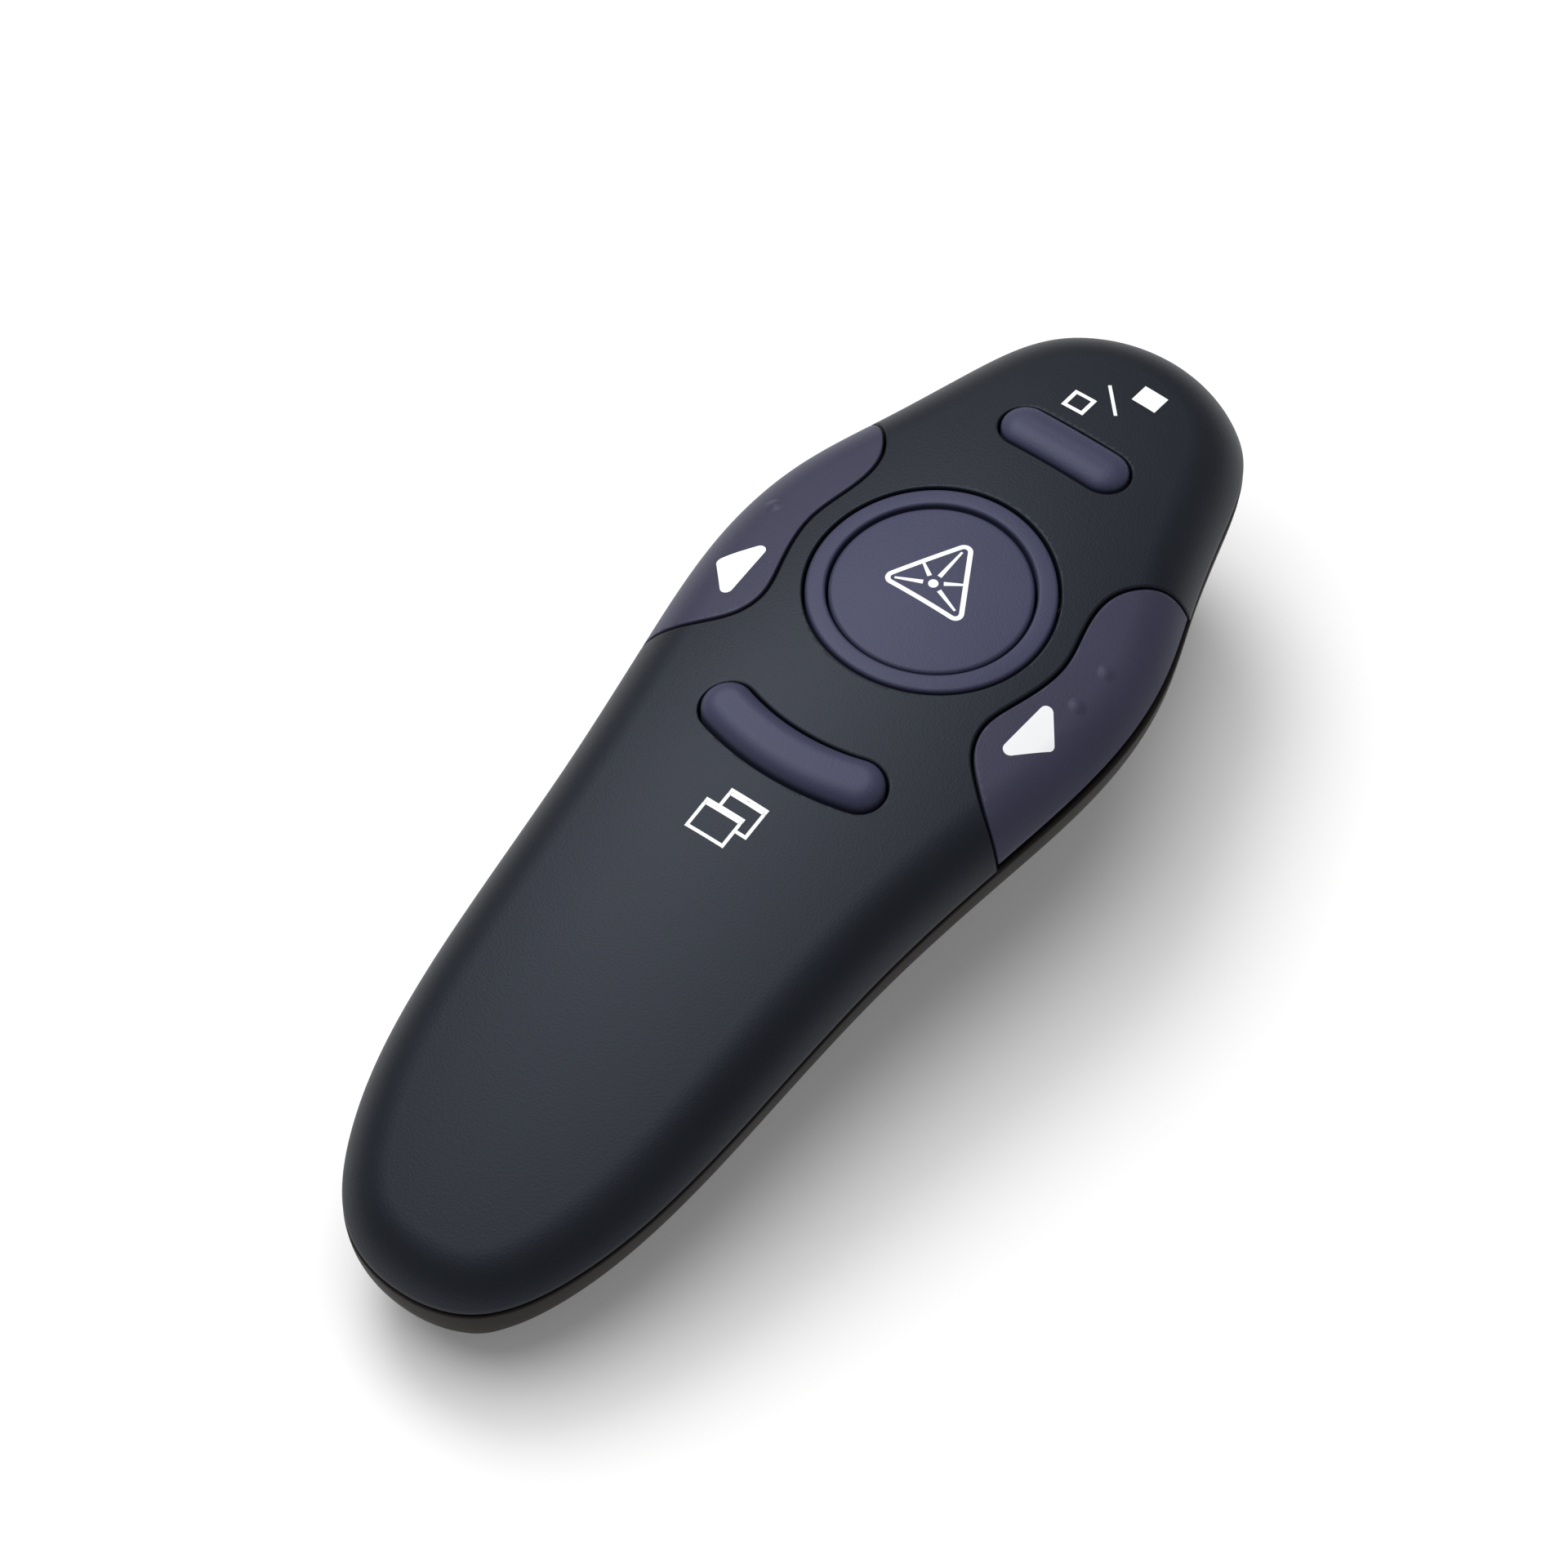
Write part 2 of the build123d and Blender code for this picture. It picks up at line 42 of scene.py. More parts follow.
def closedSpline(points, count):
    # cubic spline through the points that closes on itself, its parameter the summed chord length,
    # read at evenly spaced lengths: places and unit directions
    p = np.asarray(points, float)
    n = len(p)
    h = np.linalg.norm(np.roll(p, -1, 0) - p, axis=1)
    i = np.arange(n)
    a = np.zeros((n, n))
    a[i, i] = 2 * (h + np.roll(h, 1))
    a[i, (i + 1) % n] += h
    a[i, (i - 1) % n] += np.roll(h, 1)
    slope = (np.roll(p, -1, 0) - p) / h[:, None]
    m = np.linalg.solve(a, 6 * (slope - np.roll(slope, 1, 0)))
    knots = np.concatenate([[0.0], np.cumsum(h)])

    def read(t):
        k = np.clip(np.searchsorted(knots, t, side="right") - 1, 0, n - 1)
        j = (k + 1) % n
        s, w = (t - knots[k])[:, None], h[k][:, None]
        left, right = p[k] / w - m[k] * w / 6, p[j] / w - m[j] * w / 6
        place = m[k] * (w - s) ** 3 / (6 * w) + m[j] * s ** 3 / (6 * w) + left * (w - s) + right * s
        ahead = m[j] * s ** 2 / (2 * w) - m[k] * (w - s) ** 2 / (2 * w) - left + right
        return place, ahead / np.linalg.norm(ahead, axis=1)[:, None]

    samples = 6001
    fine = np.linspace(0, knots[-1], samples)
    path = read(fine)[0]
    run = np.concatenate([[0.0], np.cumsum(np.linalg.norm(np.diff(path, axis=0), axis=1))])
    return read(np.interp(np.arange(count) / count * run[-1], run, fine))


def openCurve(points, count):
    # the same kind of spline with free ends, without bend at its first and last point
    p = np.asarray(points, float)
    t = np.concatenate([[0.0], np.cumsum(np.linalg.norm(np.diff(p, axis=0), axis=1))])
    h = np.diff(t)
    n = len(p)
    a = np.eye(n)
    b = np.zeros_like(p)
    i = np.arange(1, n - 1)
    a[i, i - 1], a[i, i], a[i, i + 1] = h[:-1], 2 * (h[:-1] + h[1:]), h[1:]
    b[i] = 6 * ((p[2:] - p[1:-1]) / h[1:, None] - (p[1:-1] - p[:-2]) / h[:-1, None])
    m = np.linalg.solve(a, b)
    u = np.linspace(0, t[-1], count)
    k = np.clip(np.searchsorted(t, u, side="right") - 1, 0, n - 2)
    s, w = (u - t[k])[:, None], h[k][:, None]
    return (m[k] * (w - s) ** 3 / (6 * w) + m[k + 1] * s ** 3 / (6 * w)
            + (p[k] / w - m[k] * w / 6) * (w - s) + (p[k + 1] / w - m[k + 1] * w / 6) * s)


def gridObject(name, rows, closedAround=True, closedUp=False):
    # rows is a stack of rings of points in millimetres; each cell between two rings is one face
    grid = np.asarray(rows, float)
    v, u = grid.shape[:2]
    r = np.arange(v if closedUp else v - 1)[:, None]
    c = np.arange(u if closedAround else u - 1)[None, :]
    r2, c2 = (r + 1) % v, (c + 1) % u
    faces = np.stack([r * u + c, r * u + c2, r2 * u + c2, r2 * u + c], -1).reshape(-1, 4)
    mesh = bpy.data.meshes.new(name)
    mesh.from_pydata((grid.reshape(-1, 3) * mm).tolist(), [], faces.tolist())
    piece = bpy.data.objects.new(name, mesh)
    bpy.context.scene.collection.objects.link(piece)
    return piece


def closeUp(piece, smoothAngle=35.0):
    # merges doubled points, turns every face outwards and shades smooth up to the angle
    b = bmesh.new()
    b.from_mesh(piece.data)
    bmesh.ops.remove_doubles(b, verts=b.verts, dist=1.5e-6)
    bmesh.ops.dissolve_degenerate(b, edges=b.edges, dist=1e-7)
    bmesh.ops.recalc_face_normals(b, faces=b.faces)
    b.to_mesh(piece.data)
    b.free()
    piece.data.shade_smooth()
    piece.data.set_sharp_from_angle(angle=math.radians(smoothAngle))
    return piece


def joined(name, pieces):
    # several closed meshes in one object
    b = bmesh.new()
    for piece in pieces:
        b.from_mesh(piece.data)
        bpy.data.objects.remove(piece)
    mesh = bpy.data.meshes.new(name)
    b.to_mesh(mesh)
    b.free()
    result = bpy.data.objects.new(name, mesh)
    bpy.context.scene.collection.objects.link(result)
    return result


def combine(piece, tool, operation):
    # one exact boolean, applied, and the tool thrown away
    modifier = piece.modifiers.new("cut", "BOOLEAN")
    modifier.operation = operation
    modifier.solver = "EXACT"
    modifier.object = tool
    bpy.context.view_layer.update()
    mesh = bpy.data.meshes.new_from_object(piece.evaluated_get(bpy.context.evaluated_depsgraph_get()))
    piece.modifiers.clear()
    piece.data = mesh
    bpy.data.objects.remove(tool)
    return closeUp(piece)


# the hull both shells share, millimetres and degrees
hull = {
    "halfLength": 52.5,
    "outlineRight": [
        (6.2, -50.9), (11.3, -44.0), (13.9, -34.5), (15.2, -22.0), (16.3, -9.4), (18.3, 4.0),
        (19.6, 16.0), (18.6, 24.5), (15.9, 32.3), (13.3, 40.5), (9.8, 48.2), (4.6, 51.7),
    ],
    "wall": 1.6, "crownTop": 26.0, "crownY": 17.5, "crownAlong": 178.0, "crownAcross": 53.0,
    "shoulder": 6.0,
    "seamTop": 19.7, "seamY": 25.9, "seamRadius": 286.0, "seamGap": 0.3, "rimRound": 0.25,
    "sideRound": 9.0, "sideLean": 30.0, "noseLeanLess": 16.0, "floorRound": 5.0, "floorMeet": 80.0,
    "riseY": 25.0, "riseRadius": 42.0, "spineShare": 0.86, "around": 480,
}


def crownHeight(x, y):
    # an arc across the hand carried along a longer arc
    a, b = hull["crownAcross"], hull["crownAlong"]
    return (hull["crownTop"] - (a - np.sqrt(a ** 2 - x ** 2))
            - (b - np.sqrt(b ** 2 - (y - hull["crownY"]) ** 2)))


def crownAt(plan):
    return crownHeight(plan[:, 0], plan[:, 1])


def seamHeight(y):
    radius = hull["seamRadius"]
    return hull["seamTop"] - radius + np.sqrt(radius ** 2 - (y - hull["seamY"]) ** 2)


def floorHeight(y):
    rise = np.clip(y - hull["riseY"], 0, None)
    return hull["riseRadius"] - np.sqrt(hull["riseRadius"] ** 2 - rise ** 2)


rightSide = hull["outlineRight"]
outlinePoints = ([(0, -hull["halfLength"])] + rightSide + [(0, hull["halfLength"])]
                 + [(-x, y) for x, y in reversed(rightSide)])
edge, along = closedSpline(outlinePoints, hull["around"])
inward = np.stack([-along[:, 1], along[:, 0]], 1)
spine = np.stack([np.zeros(len(edge)), edge[:, 1] * hull["spineShare"]], 1)


def lift(plan, height):
    return np.concatenate([plan, np.broadcast_to(height, (len(plan),))[:, None]], 1)


def fillRows(ring, middle, height, steps):
    # rings that shrink from ring to middle, laid on the height function
    shares = np.linspace(0, 1, steps + 1)[1:, None, None]
    plans = ring[None] * (1 - shares) + middle[None] * shares
    return [lift(plan, height(plan[:, 0], plan[:, 1])) for plan in plans]


def shoulderArc():
    # the circle between side and crown at each outline point: tangent to the crown, it passes through
    # the seam edge, or meets an upright wall above it. Gives its leans at the crown and at the foot, and
    # the inset and height of its centre
    step, firstGuess = 0.05, 0.3
    r, foot = hull["shoulder"], seamHeight(edge[:, 1]) + hull["seamGap"] / 2 + hull["rimRound"]
    top = np.full(len(edge), firstGuess)
    for _ in range(5):
        low, high = top.copy(), np.full(len(edge), math.pi / 2)
        for _ in range(40):
            turn = (low + high) / 2
            touch = edge + inward * (r * (np.sin(turn) - np.sin(top)))[:, None]
            over = crownAt(touch) - r * (np.cos(top) - np.cos(turn)) > foot
            low, high = np.where(over, turn, low), np.where(over, high, turn)
        top = np.arctan((crownAt(touch + inward * step) - crownAt(touch)) / step)
    return top, turn, r * np.sin(turn), crownAt(touch) - r * np.cos(top)


arcTop, arcFoot, arcInset, arcHeight = shoulderArc()


def shoulderRows(rim, steps):
    # rings up the shoulder from the height rim to the crown
    r = hull["shoulder"]
    start = np.minimum(arcFoot, np.arccos(np.clip((rim - arcHeight) / r, 0, 1)))
    turns = [start + (arcTop - start) * share for share in np.linspace(0, 1, steps + 1)]
    return [lift(edge + inward * (arcInset - r * np.sin(t))[:, None], arcHeight + r * np.cos(t))
            for t in turns]


def topHeight(px, py):
    # height of the finished top: the crown, or the shoulder circle of the nearest outline point
    k = ((px[:, None] - edge[:, 0]) ** 2 + (py[:, None] - edge[:, 1]) ** 2).argmin(1)
    inset = (px - edge[k, 0]) * inward[k, 0] + (py - edge[k, 1]) * inward[k, 1]
    r = hull["shoulder"]
    reach = np.clip(arcInset[k] - inset, r * np.sin(arcTop[k]), r * np.sin(arcFoot[k]))
    arc = arcHeight[k] + np.sqrt(r ** 2 - reach ** 2)
    return np.where(inset < arcInset[k] - r * np.sin(arcTop[k]), arc, crownHeight(px, py))


def topSolid(name, rimLift):
    # closed skin above the seam: inner ceiling, inner wall, rounded rim, outer wall, shoulder, crown
    y, wall, r = edge[:, 1], hull["wall"], hull["rimRound"]
    rim = seamHeight(y) + rimLift
    shoulder = shoulderRows(rim + r, steps=16)
    inside = edge + inward * wall

    def ceiling(px, py):
        return crownHeight(px, py) - wall

    rows = fillRows(inside, spine, ceiling, steps=24)[::-1]
    rows.append(lift(inside, ceiling(inside[:, 0], inside[:, 1])))
    rows.append(lift(inside, rim))
    for turn in np.linspace(0, math.pi / 2, 5):
        rows.append(lift(shoulder[0][:, :2] + inward * (r * (1 - math.sin(turn))),
                         rim + r * (1 - math.cos(turn))))
    rows += shoulder
    rows += fillRows(shoulder[-1][:, :2], spine, crownHeight, steps=70)
    return closeUp(gridObject(name, rows))


def lowerRows(thick):
    # upright at the seam, rounded to the lean of the sides, rounded again into the floor; thick moves
    # every ring inwards along the surface's own normal. The last round would end by dip under the floor,
    # read by back outside its end, and is held at the floor instead
    dip, back = 0.25, 0.8
    y, ny = edge[:, 1], inward[:, 1]
    meet = math.radians(hull["floorMeet"])
    lean = np.radians(hull["sideLean"] - hull["noseLeanLess"] * np.clip(-ny, 0, None) ** 2)
    big, small = hull["sideRound"], hull["floorRound"]
    inset = np.full(len(y), 5.0)
    for _ in range(12):
        depth = seamHeight(y) - floorHeight(y + ny * (inset - back)) + dip
        deepLow = depth - small * (math.sin(meet) - np.sin(lean))
        insetLow = big * (1 - np.cos(lean)) + (deepLow - big * np.sin(lean)) * np.tan(lean)
        inset = insetLow + small * (np.cos(lean) - math.cos(meet))
    rows = []
    for share in np.linspace(0, 1, 9)[1:]:
        a = lean * share
        rows.append((a, big * np.sin(a), big * (1 - np.cos(a))))
    for share in np.linspace(0, 1, 9)[1:]:
        top = big * np.sin(lean)
        rows.append((lean, top + (deepLow - top) * share,
                     big * (1 - np.cos(lean)) + (insetLow - big * (1 - np.cos(lean))) * share))
    for share in np.linspace(0, 1, 11)[1:]:
        a = lean + (meet - lean) * share
        rows.append((a, deepLow + small * (np.sin(a) - np.sin(lean)),
                     insetLow + small * (np.cos(lean) - np.cos(a))))
    result = []
    for a, deep, shift in rows:
        plan = edge + inward * (shift + thick * np.cos(a))[:, None]
        height = seamHeight(y) - deep + thick * np.sin(a)
        result.append(lift(plan, np.maximum(height, floorHeight(plan[:, 1]) + thick)))
    return result


def bottomSolid(name):
    # closed skin below the seam: inner floor, inner wall, rounded rim, outer side, outer floor
    y, wall, r = edge[:, 1], hull["wall"], hull["rimRound"]
    rim = seamHeight(y) - hull["seamGap"] / 2
    inner, outer = lowerRows(wall), lowerRows(0.0)

    def floorAt(rise):
        return lambda px, py: floorHeight(py) + rise

    rows = fillRows(inner[-1][:, :2], spine, floorAt(wall), steps=20)[::-1]
    rows += inner[::-1]
    rows.append(lift(edge + inward * wall, rim))
    for turn in np.linspace(math.pi / 2, 0, 5):
        rows.append(lift(edge + inward * (r * (1 - math.sin(math.pi / 2 - turn))),
                         rim - r * (1 - math.cos(math.pi / 2 - turn))))
    rows += outer
    rows += fillRows(outer[-1][:, :2], spine, floorAt(0.0), steps=24)
    return closeUp(gridObject(name, rows))


# openings and keys, millimetres and degrees
keys = {
    "ringRadius": 10.5, "ringBand": 1.9, "ringRound": 0.3, "ringDeep": 4.0, "ringLow": 22.1,
    "gap": 0.24, "dish": 0.25, "cutLow": 15, "wingCutLow": 10,
    "pillPlace": (0.0, 36.1), "pillSize": (12.0, 4.2),
    "beanRadius": 19.8, "beanWidth": 4.4, "beanHalf": 19.0, "pillProud": 0.75, "beanProud": 1.0,
    "keyWall": 1.2, "keyHollow": 2.4,
    "wingCurve": [
        (22.0, 30.9), (16.8, 30.7), (14.8, 30.2), (13.15, 28.8), (11.95, 26.7), (11.7, 24.1),
        (12.15, 21.6), (12.75, 18.6), (12.5, 15.3), (11.65, 12.1), (11.15, 9.3), (11.85, 7.0),
        (13.5, 5.2), (15.5, 3.6), (17.5, 2.4), (22.0, 0.0),
    ],
    "wingRimLift": 0.65, "edgeRound": 0.2,
}


def circleAt(x, y, radius, count=192):
    # points round a circle, and its middle once for each of them
    a = np.arange(count) / count * 2 * math.pi
    ring = np.stack([x + radius * np.cos(a), y + radius * np.sin(a)], 1)
    return ring, np.broadcast_to([x, y], ring.shape).copy()


def slotRing(path, half):
    # both sides of a path and its round ends, anticlockwise, and the path point each one belongs to
    path = np.asarray(path, float)
    d = np.gradient(path, axis=0)
    d /= np.linalg.norm(d, axis=1)[:, None]
    side = np.stack([d[:, 1], -d[:, 0]], 1)
    end = np.linspace(-math.pi / 2, math.pi / 2, 28)[1:-1, None]
    front = path[-1] + half * (np.cos(end) * d[-1] - np.sin(end) * side[-1])
    rear = path[0] + half * (-np.cos(end) * d[0] + np.sin(end) * side[0])
    ring = np.concatenate([path + side * half, front, path[::-1] - side[::-1] * half, rear])
    middle = np.concatenate([path, np.repeat(path[-1:], len(front), 0), path[::-1],
                             np.repeat(path[:1], len(rear), 0)])
    return ring, middle


def pillShape(grow):
    (x, y), (length, width) = keys["pillPlace"], keys["pillSize"]
    reach = (length - width) / 2
    path = np.stack([np.linspace(x - reach, x + reach, 40), np.full(40, y)], 1)
    return slotRing(path, width / 2 + grow)


def beanShape(grow):
    turn, radius = np.radians(np.linspace(-keys["beanHalf"], keys["beanHalf"], 60)), keys["beanRadius"]
    path = np.stack([radius * np.sin(turn), hull["crownY"] - radius * np.cos(turn)], 1)
    return slotRing(path, keys["beanWidth"] / 2 + grow)


def wingShape(side, grow):
    # the curve between key and shell, moved sideways by grow, closed round the outside of the body
    farX, middleX, middleY = 30.0, 22.0, 15.0
    line = openCurve(keys["wingCurve"], 260)
    d = np.gradient(line, axis=0)
    d /= np.linalg.norm(d, axis=1)[:, None]
    line = line + np.stack([d[:, 1], -d[:, 0]], 1) * grow
    far = np.array([(farX, line[-1, 1]), (farX, middleY), (farX, line[0, 1])])
    ring = np.concatenate([line, far]) * (side, 1)
    if side < 0:
        ring = ring[::-1]
    return ring, np.broadcast_to([middleX * side, middleY], ring.shape).copy()


def outwardOf(ring):
    # unit directions square to a closed ring, pointing out of it
    ahead = np.roll(ring, -1, 0) - np.roll(ring, 1, 0)
    ahead /= np.linalg.norm(ahead, axis=1)[:, None]
    return np.stack([ahead[:, 1], -ahead[:, 0]], 1)


def flaredTool(shape, low, flare):
    # prism through the crown whose wall turns outwards (flare above 0) or inwards (below 0) in a
    # quarter-round just under the crown, so that the cut leaves a rounded edge
    past, above = 0.02, 5
    ring, middle = shape
    away = outwardOf(ring)
    crown = topHeight(ring[:, 0], ring[:, 1])
    r = abs(flare)
    sign = math.copysign(1.0, flare)
    rows = [lift(middle, low), lift(ring, low), lift(ring, crown - r)]
    for turn in np.radians([20, 40, 60, 78]):
        rows.append(lift(ring + away * sign * r * (1 - math.cos(turn)), crown - r + r * math.sin(turn)))
    rows.append(lift(ring + away * sign * (r + past), crown + 0.25))
    rows.append(lift(ring + away * sign * (r + past), crown + above))
    rows.append(lift(middle, crownAt(middle) + above))
    return closeUp(gridObject("tool", rows))


def keySolid(name, shape, topOf, low, across, down):
    # upright side, quarter-ellipse edge (across by down), top laid on topOf, and a hollow underside
    ring, middle = shape
    away = outwardOf(ring)
    top = topOf(ring[:, 0], ring[:, 1])
    rim = ring - away * keys["keyWall"]
    under = top.min() - keys["keyHollow"]

    def roof(px, py):
        return np.full(len(px), under)

    rows = fillRows(rim, middle, roof, steps=3)[::-1]
    rows += [lift(rim, under), lift(rim, low), lift(ring, low), lift(ring, top - down)]
    for turn in np.linspace(0, math.pi / 2, 13)[1:]:
        plan = ring - away * across * (1 - math.cos(turn))
        rows.append(lift(plan, topOf(plan[:, 0], plan[:, 1]) - down * (1 - math.sin(turn))))
    rows += fillRows(plan, middle, topOf, steps=16)
    return closeUp(gridObject(name, rows))


topShell = topSolid("topShell", hull["seamGap"] / 2)
print("top skin", len(topShell.data.polygons))
gap, roundness = keys["gap"], keys["edgeRound"]
openings = [flaredTool(shape, keys["cutLow"], roundness) for shape in (
    circleAt(0, hull["crownY"], keys["ringRadius"]), pillShape(gap), beanShape(gap))]
openings += [flaredTool(wingShape(side, gap), keys["wingCutLow"], roundness) for side in (1, -1)]
combine(topShell, joined("openings", openings), "DIFFERENCE")
print("top shell", len(topShell.data.polygons))
wings = []
for side, name in ((1, "nextKey"), (-1, "previousKey")):
    wing = topSolid(name, keys["wingRimLift"])
    combine(wing, flaredTool(wingShape(side, 0.0), keys["wingCutLow"], -roundness), "INTERSECT")
    wings.append(wing)
print("wing keys", [len(w.data.polygons) for w in wings])


def keyTop(px, py):
    return crownHeight(px, py) - keys["dish"]


laserKey = keySolid("laserKey", circleAt(0, hull["crownY"], keys["ringRadius"] - keys["ringBand"] - gap),
                    keyTop, low=21.4, across=0.35, down=0.3)


def ringSolid():
    # a flat band round the centre key, its profile carried along the crown
    inner, outer = keys["ringRadius"] - keys["ringBand"], keys["ringRadius"] - keys["gap"]
    r, deep, count = keys["ringRound"], keys["ringDeep"], 192
    turn = np.linspace(0, math.pi / 2, 7)
    across = np.concatenate([[outer], outer - r * (1 - np.cos(turn)),
                             inner + r * (1 - np.cos(turn[::-1])), [inner]])
    sink = np.concatenate([[deep], r * (1 - np.sin(turn)), r * (1 - np.sin(turn[::-1])), [deep]])
    a = np.arange(count) / count * 2 * math.pi
    rows = []
    for reach, drop in zip(across, sink):
        x, y = reach * np.cos(a), hull["crownY"] + reach * np.sin(a)
        rows.append(np.stack([x, y, np.maximum(crownHeight(x, y) - drop, keys["ringLow"])], 1))
    return closeUp(gridObject("laserRing", rows, closedUp=True))


laserRing = ringSolid()


def proudTop(place, proud):
    # half the crown's arch over a key's middle, raised by proud
    def height(px, py):
        middle = crownHeight(np.full(len(px), place[0]), np.full(len(px), place[1]))
        return (middle + crownHeight(px, py)) / 2 + proud
    return height


pillKey = keySolid("pillKey", pillShape(0.0), proudTop(keys["pillPlace"], keys["pillProud"]),
                   low=21.8, across=1.85, down=0.95)
beanPlace = (0.0, hull["crownY"] - keys["beanRadius"])
beanKey = keySolid("beanKey", beanShape(0.0), proudTop(beanPlace, keys["beanProud"]),
                   low=21.8, across=1.5, down=1.2)
bottomShell = bottomSolid("bottomShell")
print("keys and lower skin")


# lower shell, door and inner walls, millimetres; below is a height under everything
below = -1
lower = {
    "bayRear": -35.2, "bayFront": 12.4, "bayWall": 1.2, "bayWallTop": 14.2, "bayRearDrop": 3.5,
    "bayReach": 20, "bayCutTop": 9, "doorHalf": 11.4, "doorGap": 0.2, "doorRearGap": 0.5, "doorHinge": 0.6,
    "tabX": 6, "tabHalf": 1.8, "tabLong": 2.8, "tabSink": 0.2, "tabRise": 0.8,
    "thumbRadius": 2.6, "thumbDeep": 0.7, "thumbIn": 3.2,
    "pocketHalf": 7.2, "pocketRear": 15.2, "pocketFront": 33.4, "pocketTop": 7.0, "pocketWall": 1.2,
    "notchHalf": 4.0, "notchTop": 4.2, "notchRear": 0.5, "notchFront": 3.5,
    "laserHeight": 15.2, "windowRadius": 2.55, "windowEnd": 54, "barrelRear": 40.2, "barrelLength": 9.2,
    "barrelRadius": 3.05, "barrelCut": (39, 52), "cradleHalf": 6.2, "cradleRear": 41.2, "cradleFront": 44.4,
    "powerY": 38.0, "powerHeight": 15.1, "powerTravel": 2.0, "powerHalf": 1.7, "powerHigh": 1, "powerCut": 4,
    "screwPosts": [(5.5, 46.9, 12.0), (-5.5, 46.9, 12.0), (0.0, -44.4, 5.0)],
    "postRadius": 2.3, "postTop": 25, "screwHole": 1.1, "headHole": 2.0,
    "boardPosts": [(11.6, 27.0), (-11.6, 27.0), (12.6, -4.0), (-12.6, -4.0)],
    "boardHeight": 16.3, "boardPostRadius": 1.7, "skinBite": 0.4, "lidGap": 0.25,
}


def boxTool(x0, x1, y0, y1, z0, z1, turn=(1, 0), centre=(0, 0)):
    # a box given by its faces, turned about the vertical so that its x axis points along turn
    ring = np.array([(x0, y0), (x1, y0), (x1, y1), (x0, y1)], float)
    c, s = turn
    ring = np.stack([centre[0] + ring[:, 0] * c - ring[:, 1] * s,
                     centre[1] + ring[:, 0] * s + ring[:, 1] * c], 1)
    middle = np.broadcast_to(ring.mean(0), ring.shape)
    return closeUp(gridObject("tool", [lift(middle, z0), lift(ring, z0), lift(ring, z1), lift(middle, z1)]))


def rodTool(x, y, z0, z1, radius):
    # an upright round rod
    ring, middle = circleAt(x, y, radius, 48)
    return closeUp(gridObject("tool", [lift(middle, z0), lift(ring, z0), lift(ring, z1), lift(middle, z1)]))


def rodAlong(x, z, y0, y1, radius):
    # a round rod along the length of the body
    ring, middle = circleAt(x, z, radius, 48)
    rows = [np.stack([r[:, 0], np.full(len(r), y), r[:, 1]], 1)
            for r, y in ((middle, y0), (ring, y0), (ring, y1), (middle, y1))]
    return closeUp(gridObject("tool", rows))


def sideTool(x0, x1, y0, y1, z0, z1):
    # a box set square to the left wall at the power slider
    left = np.where(edge[:, 0] < 0)[0]
    left = left[np.argsort(edge[left, 1])]
    x, outX, outY = [np.interp(lower["powerY"], edge[left, 1], row[left])
                     for row in (edge[:, 0], -inward[:, 0], -inward[:, 1])]
    return boxTool(x0, x1, y0, y1, z0, z1, (outX, outY), (x, lower["powerY"]))


def cornerTool(front, radius, half):
    # what is left of a square bar when a round rod of that radius is taken out of its upper rear corner
    turns = np.linspace(0, -math.pi / 2, 13)
    arc = [(front - radius + radius * math.cos(t), radius + radius * math.sin(t)) for t in turns]
    section = np.array(arc + [(front - radius, below), (front + 1, below), (front + 1, radius)])
    middle = np.broadcast_to((front, 0.0), section.shape)
    rows = [np.column_stack([np.full(len(r), x), r])
            for r, x in ((middle, -half), (section, -half), (section, half), (middle, half))]
    return closeUp(gridObject("tool", rows))


gapHalf = lower["doorHalf"] + lower["doorGap"]
doorBox = (-lower["doorHalf"], lower["doorHalf"], lower["bayRear"] + lower["doorRearGap"],
           lower["bayFront"] - lower["doorGap"], below, lower["bayCutTop"])
batteryDoor = bottomSolid("batteryDoor")
combine(batteryDoor, boxTool(*doorBox), "INTERSECT")
for x in (-lower["tabX"], lower["tabX"]):
    tab = boxTool(x - lower["tabHalf"], x + lower["tabHalf"], doorBox[3] - lower["tabLong"], doorBox[3],
                  hull["wall"] - lower["tabSink"], hull["wall"] + lower["tabRise"])
    combine(batteryDoor, tab, "UNION")
thumb = rodTool(0, lower["bayRear"] + lower["thumbIn"], below, lower["thumbDeep"], lower["thumbRadius"])
combine(batteryDoor, thumb, "DIFFERENCE")
combine(batteryDoor, cornerTool(doorBox[3], lower["doorHinge"], lower["doorHalf"] + 1), "DIFFERENCE")
power, p, w = lower["powerHeight"], lower["pocketHalf"], lower["pocketWall"]
notch = boxTool(-lower["notchHalf"], lower["notchHalf"], lower["pocketFront"] - lower["notchRear"],
                lower["pocketFront"] + lower["notchFront"], below, lower["notchTop"])
pocketBox = (-p, p, lower["pocketRear"], lower["pocketFront"], below, lower["pocketTop"])
holes = [
    boxTool(-gapHalf, gapHalf, lower["bayRear"], lower["bayFront"], below, lower["bayCutTop"]),
    combine(boxTool(*pocketBox), notch, "UNION"),
    rodAlong(0, lower["laserHeight"], lower["barrelRear"] + lower["barrelLength"], lower["windowEnd"],
             lower["windowRadius"]),
    sideTool(-lower["powerCut"], lower["powerCut"], -lower["powerHalf"],
             lower["powerHalf"] + lower["powerTravel"], power - lower["powerHigh"], power + lower["powerHigh"]),
] + [rodTool(x, y, below, seat, lower["headHole"]) for x, y, seat in lower["screwPosts"]]
combine(bottomShell, joined("holes", holes), "DIFFERENCE")
print("lower shell", len(bottomShell.data.polygons))


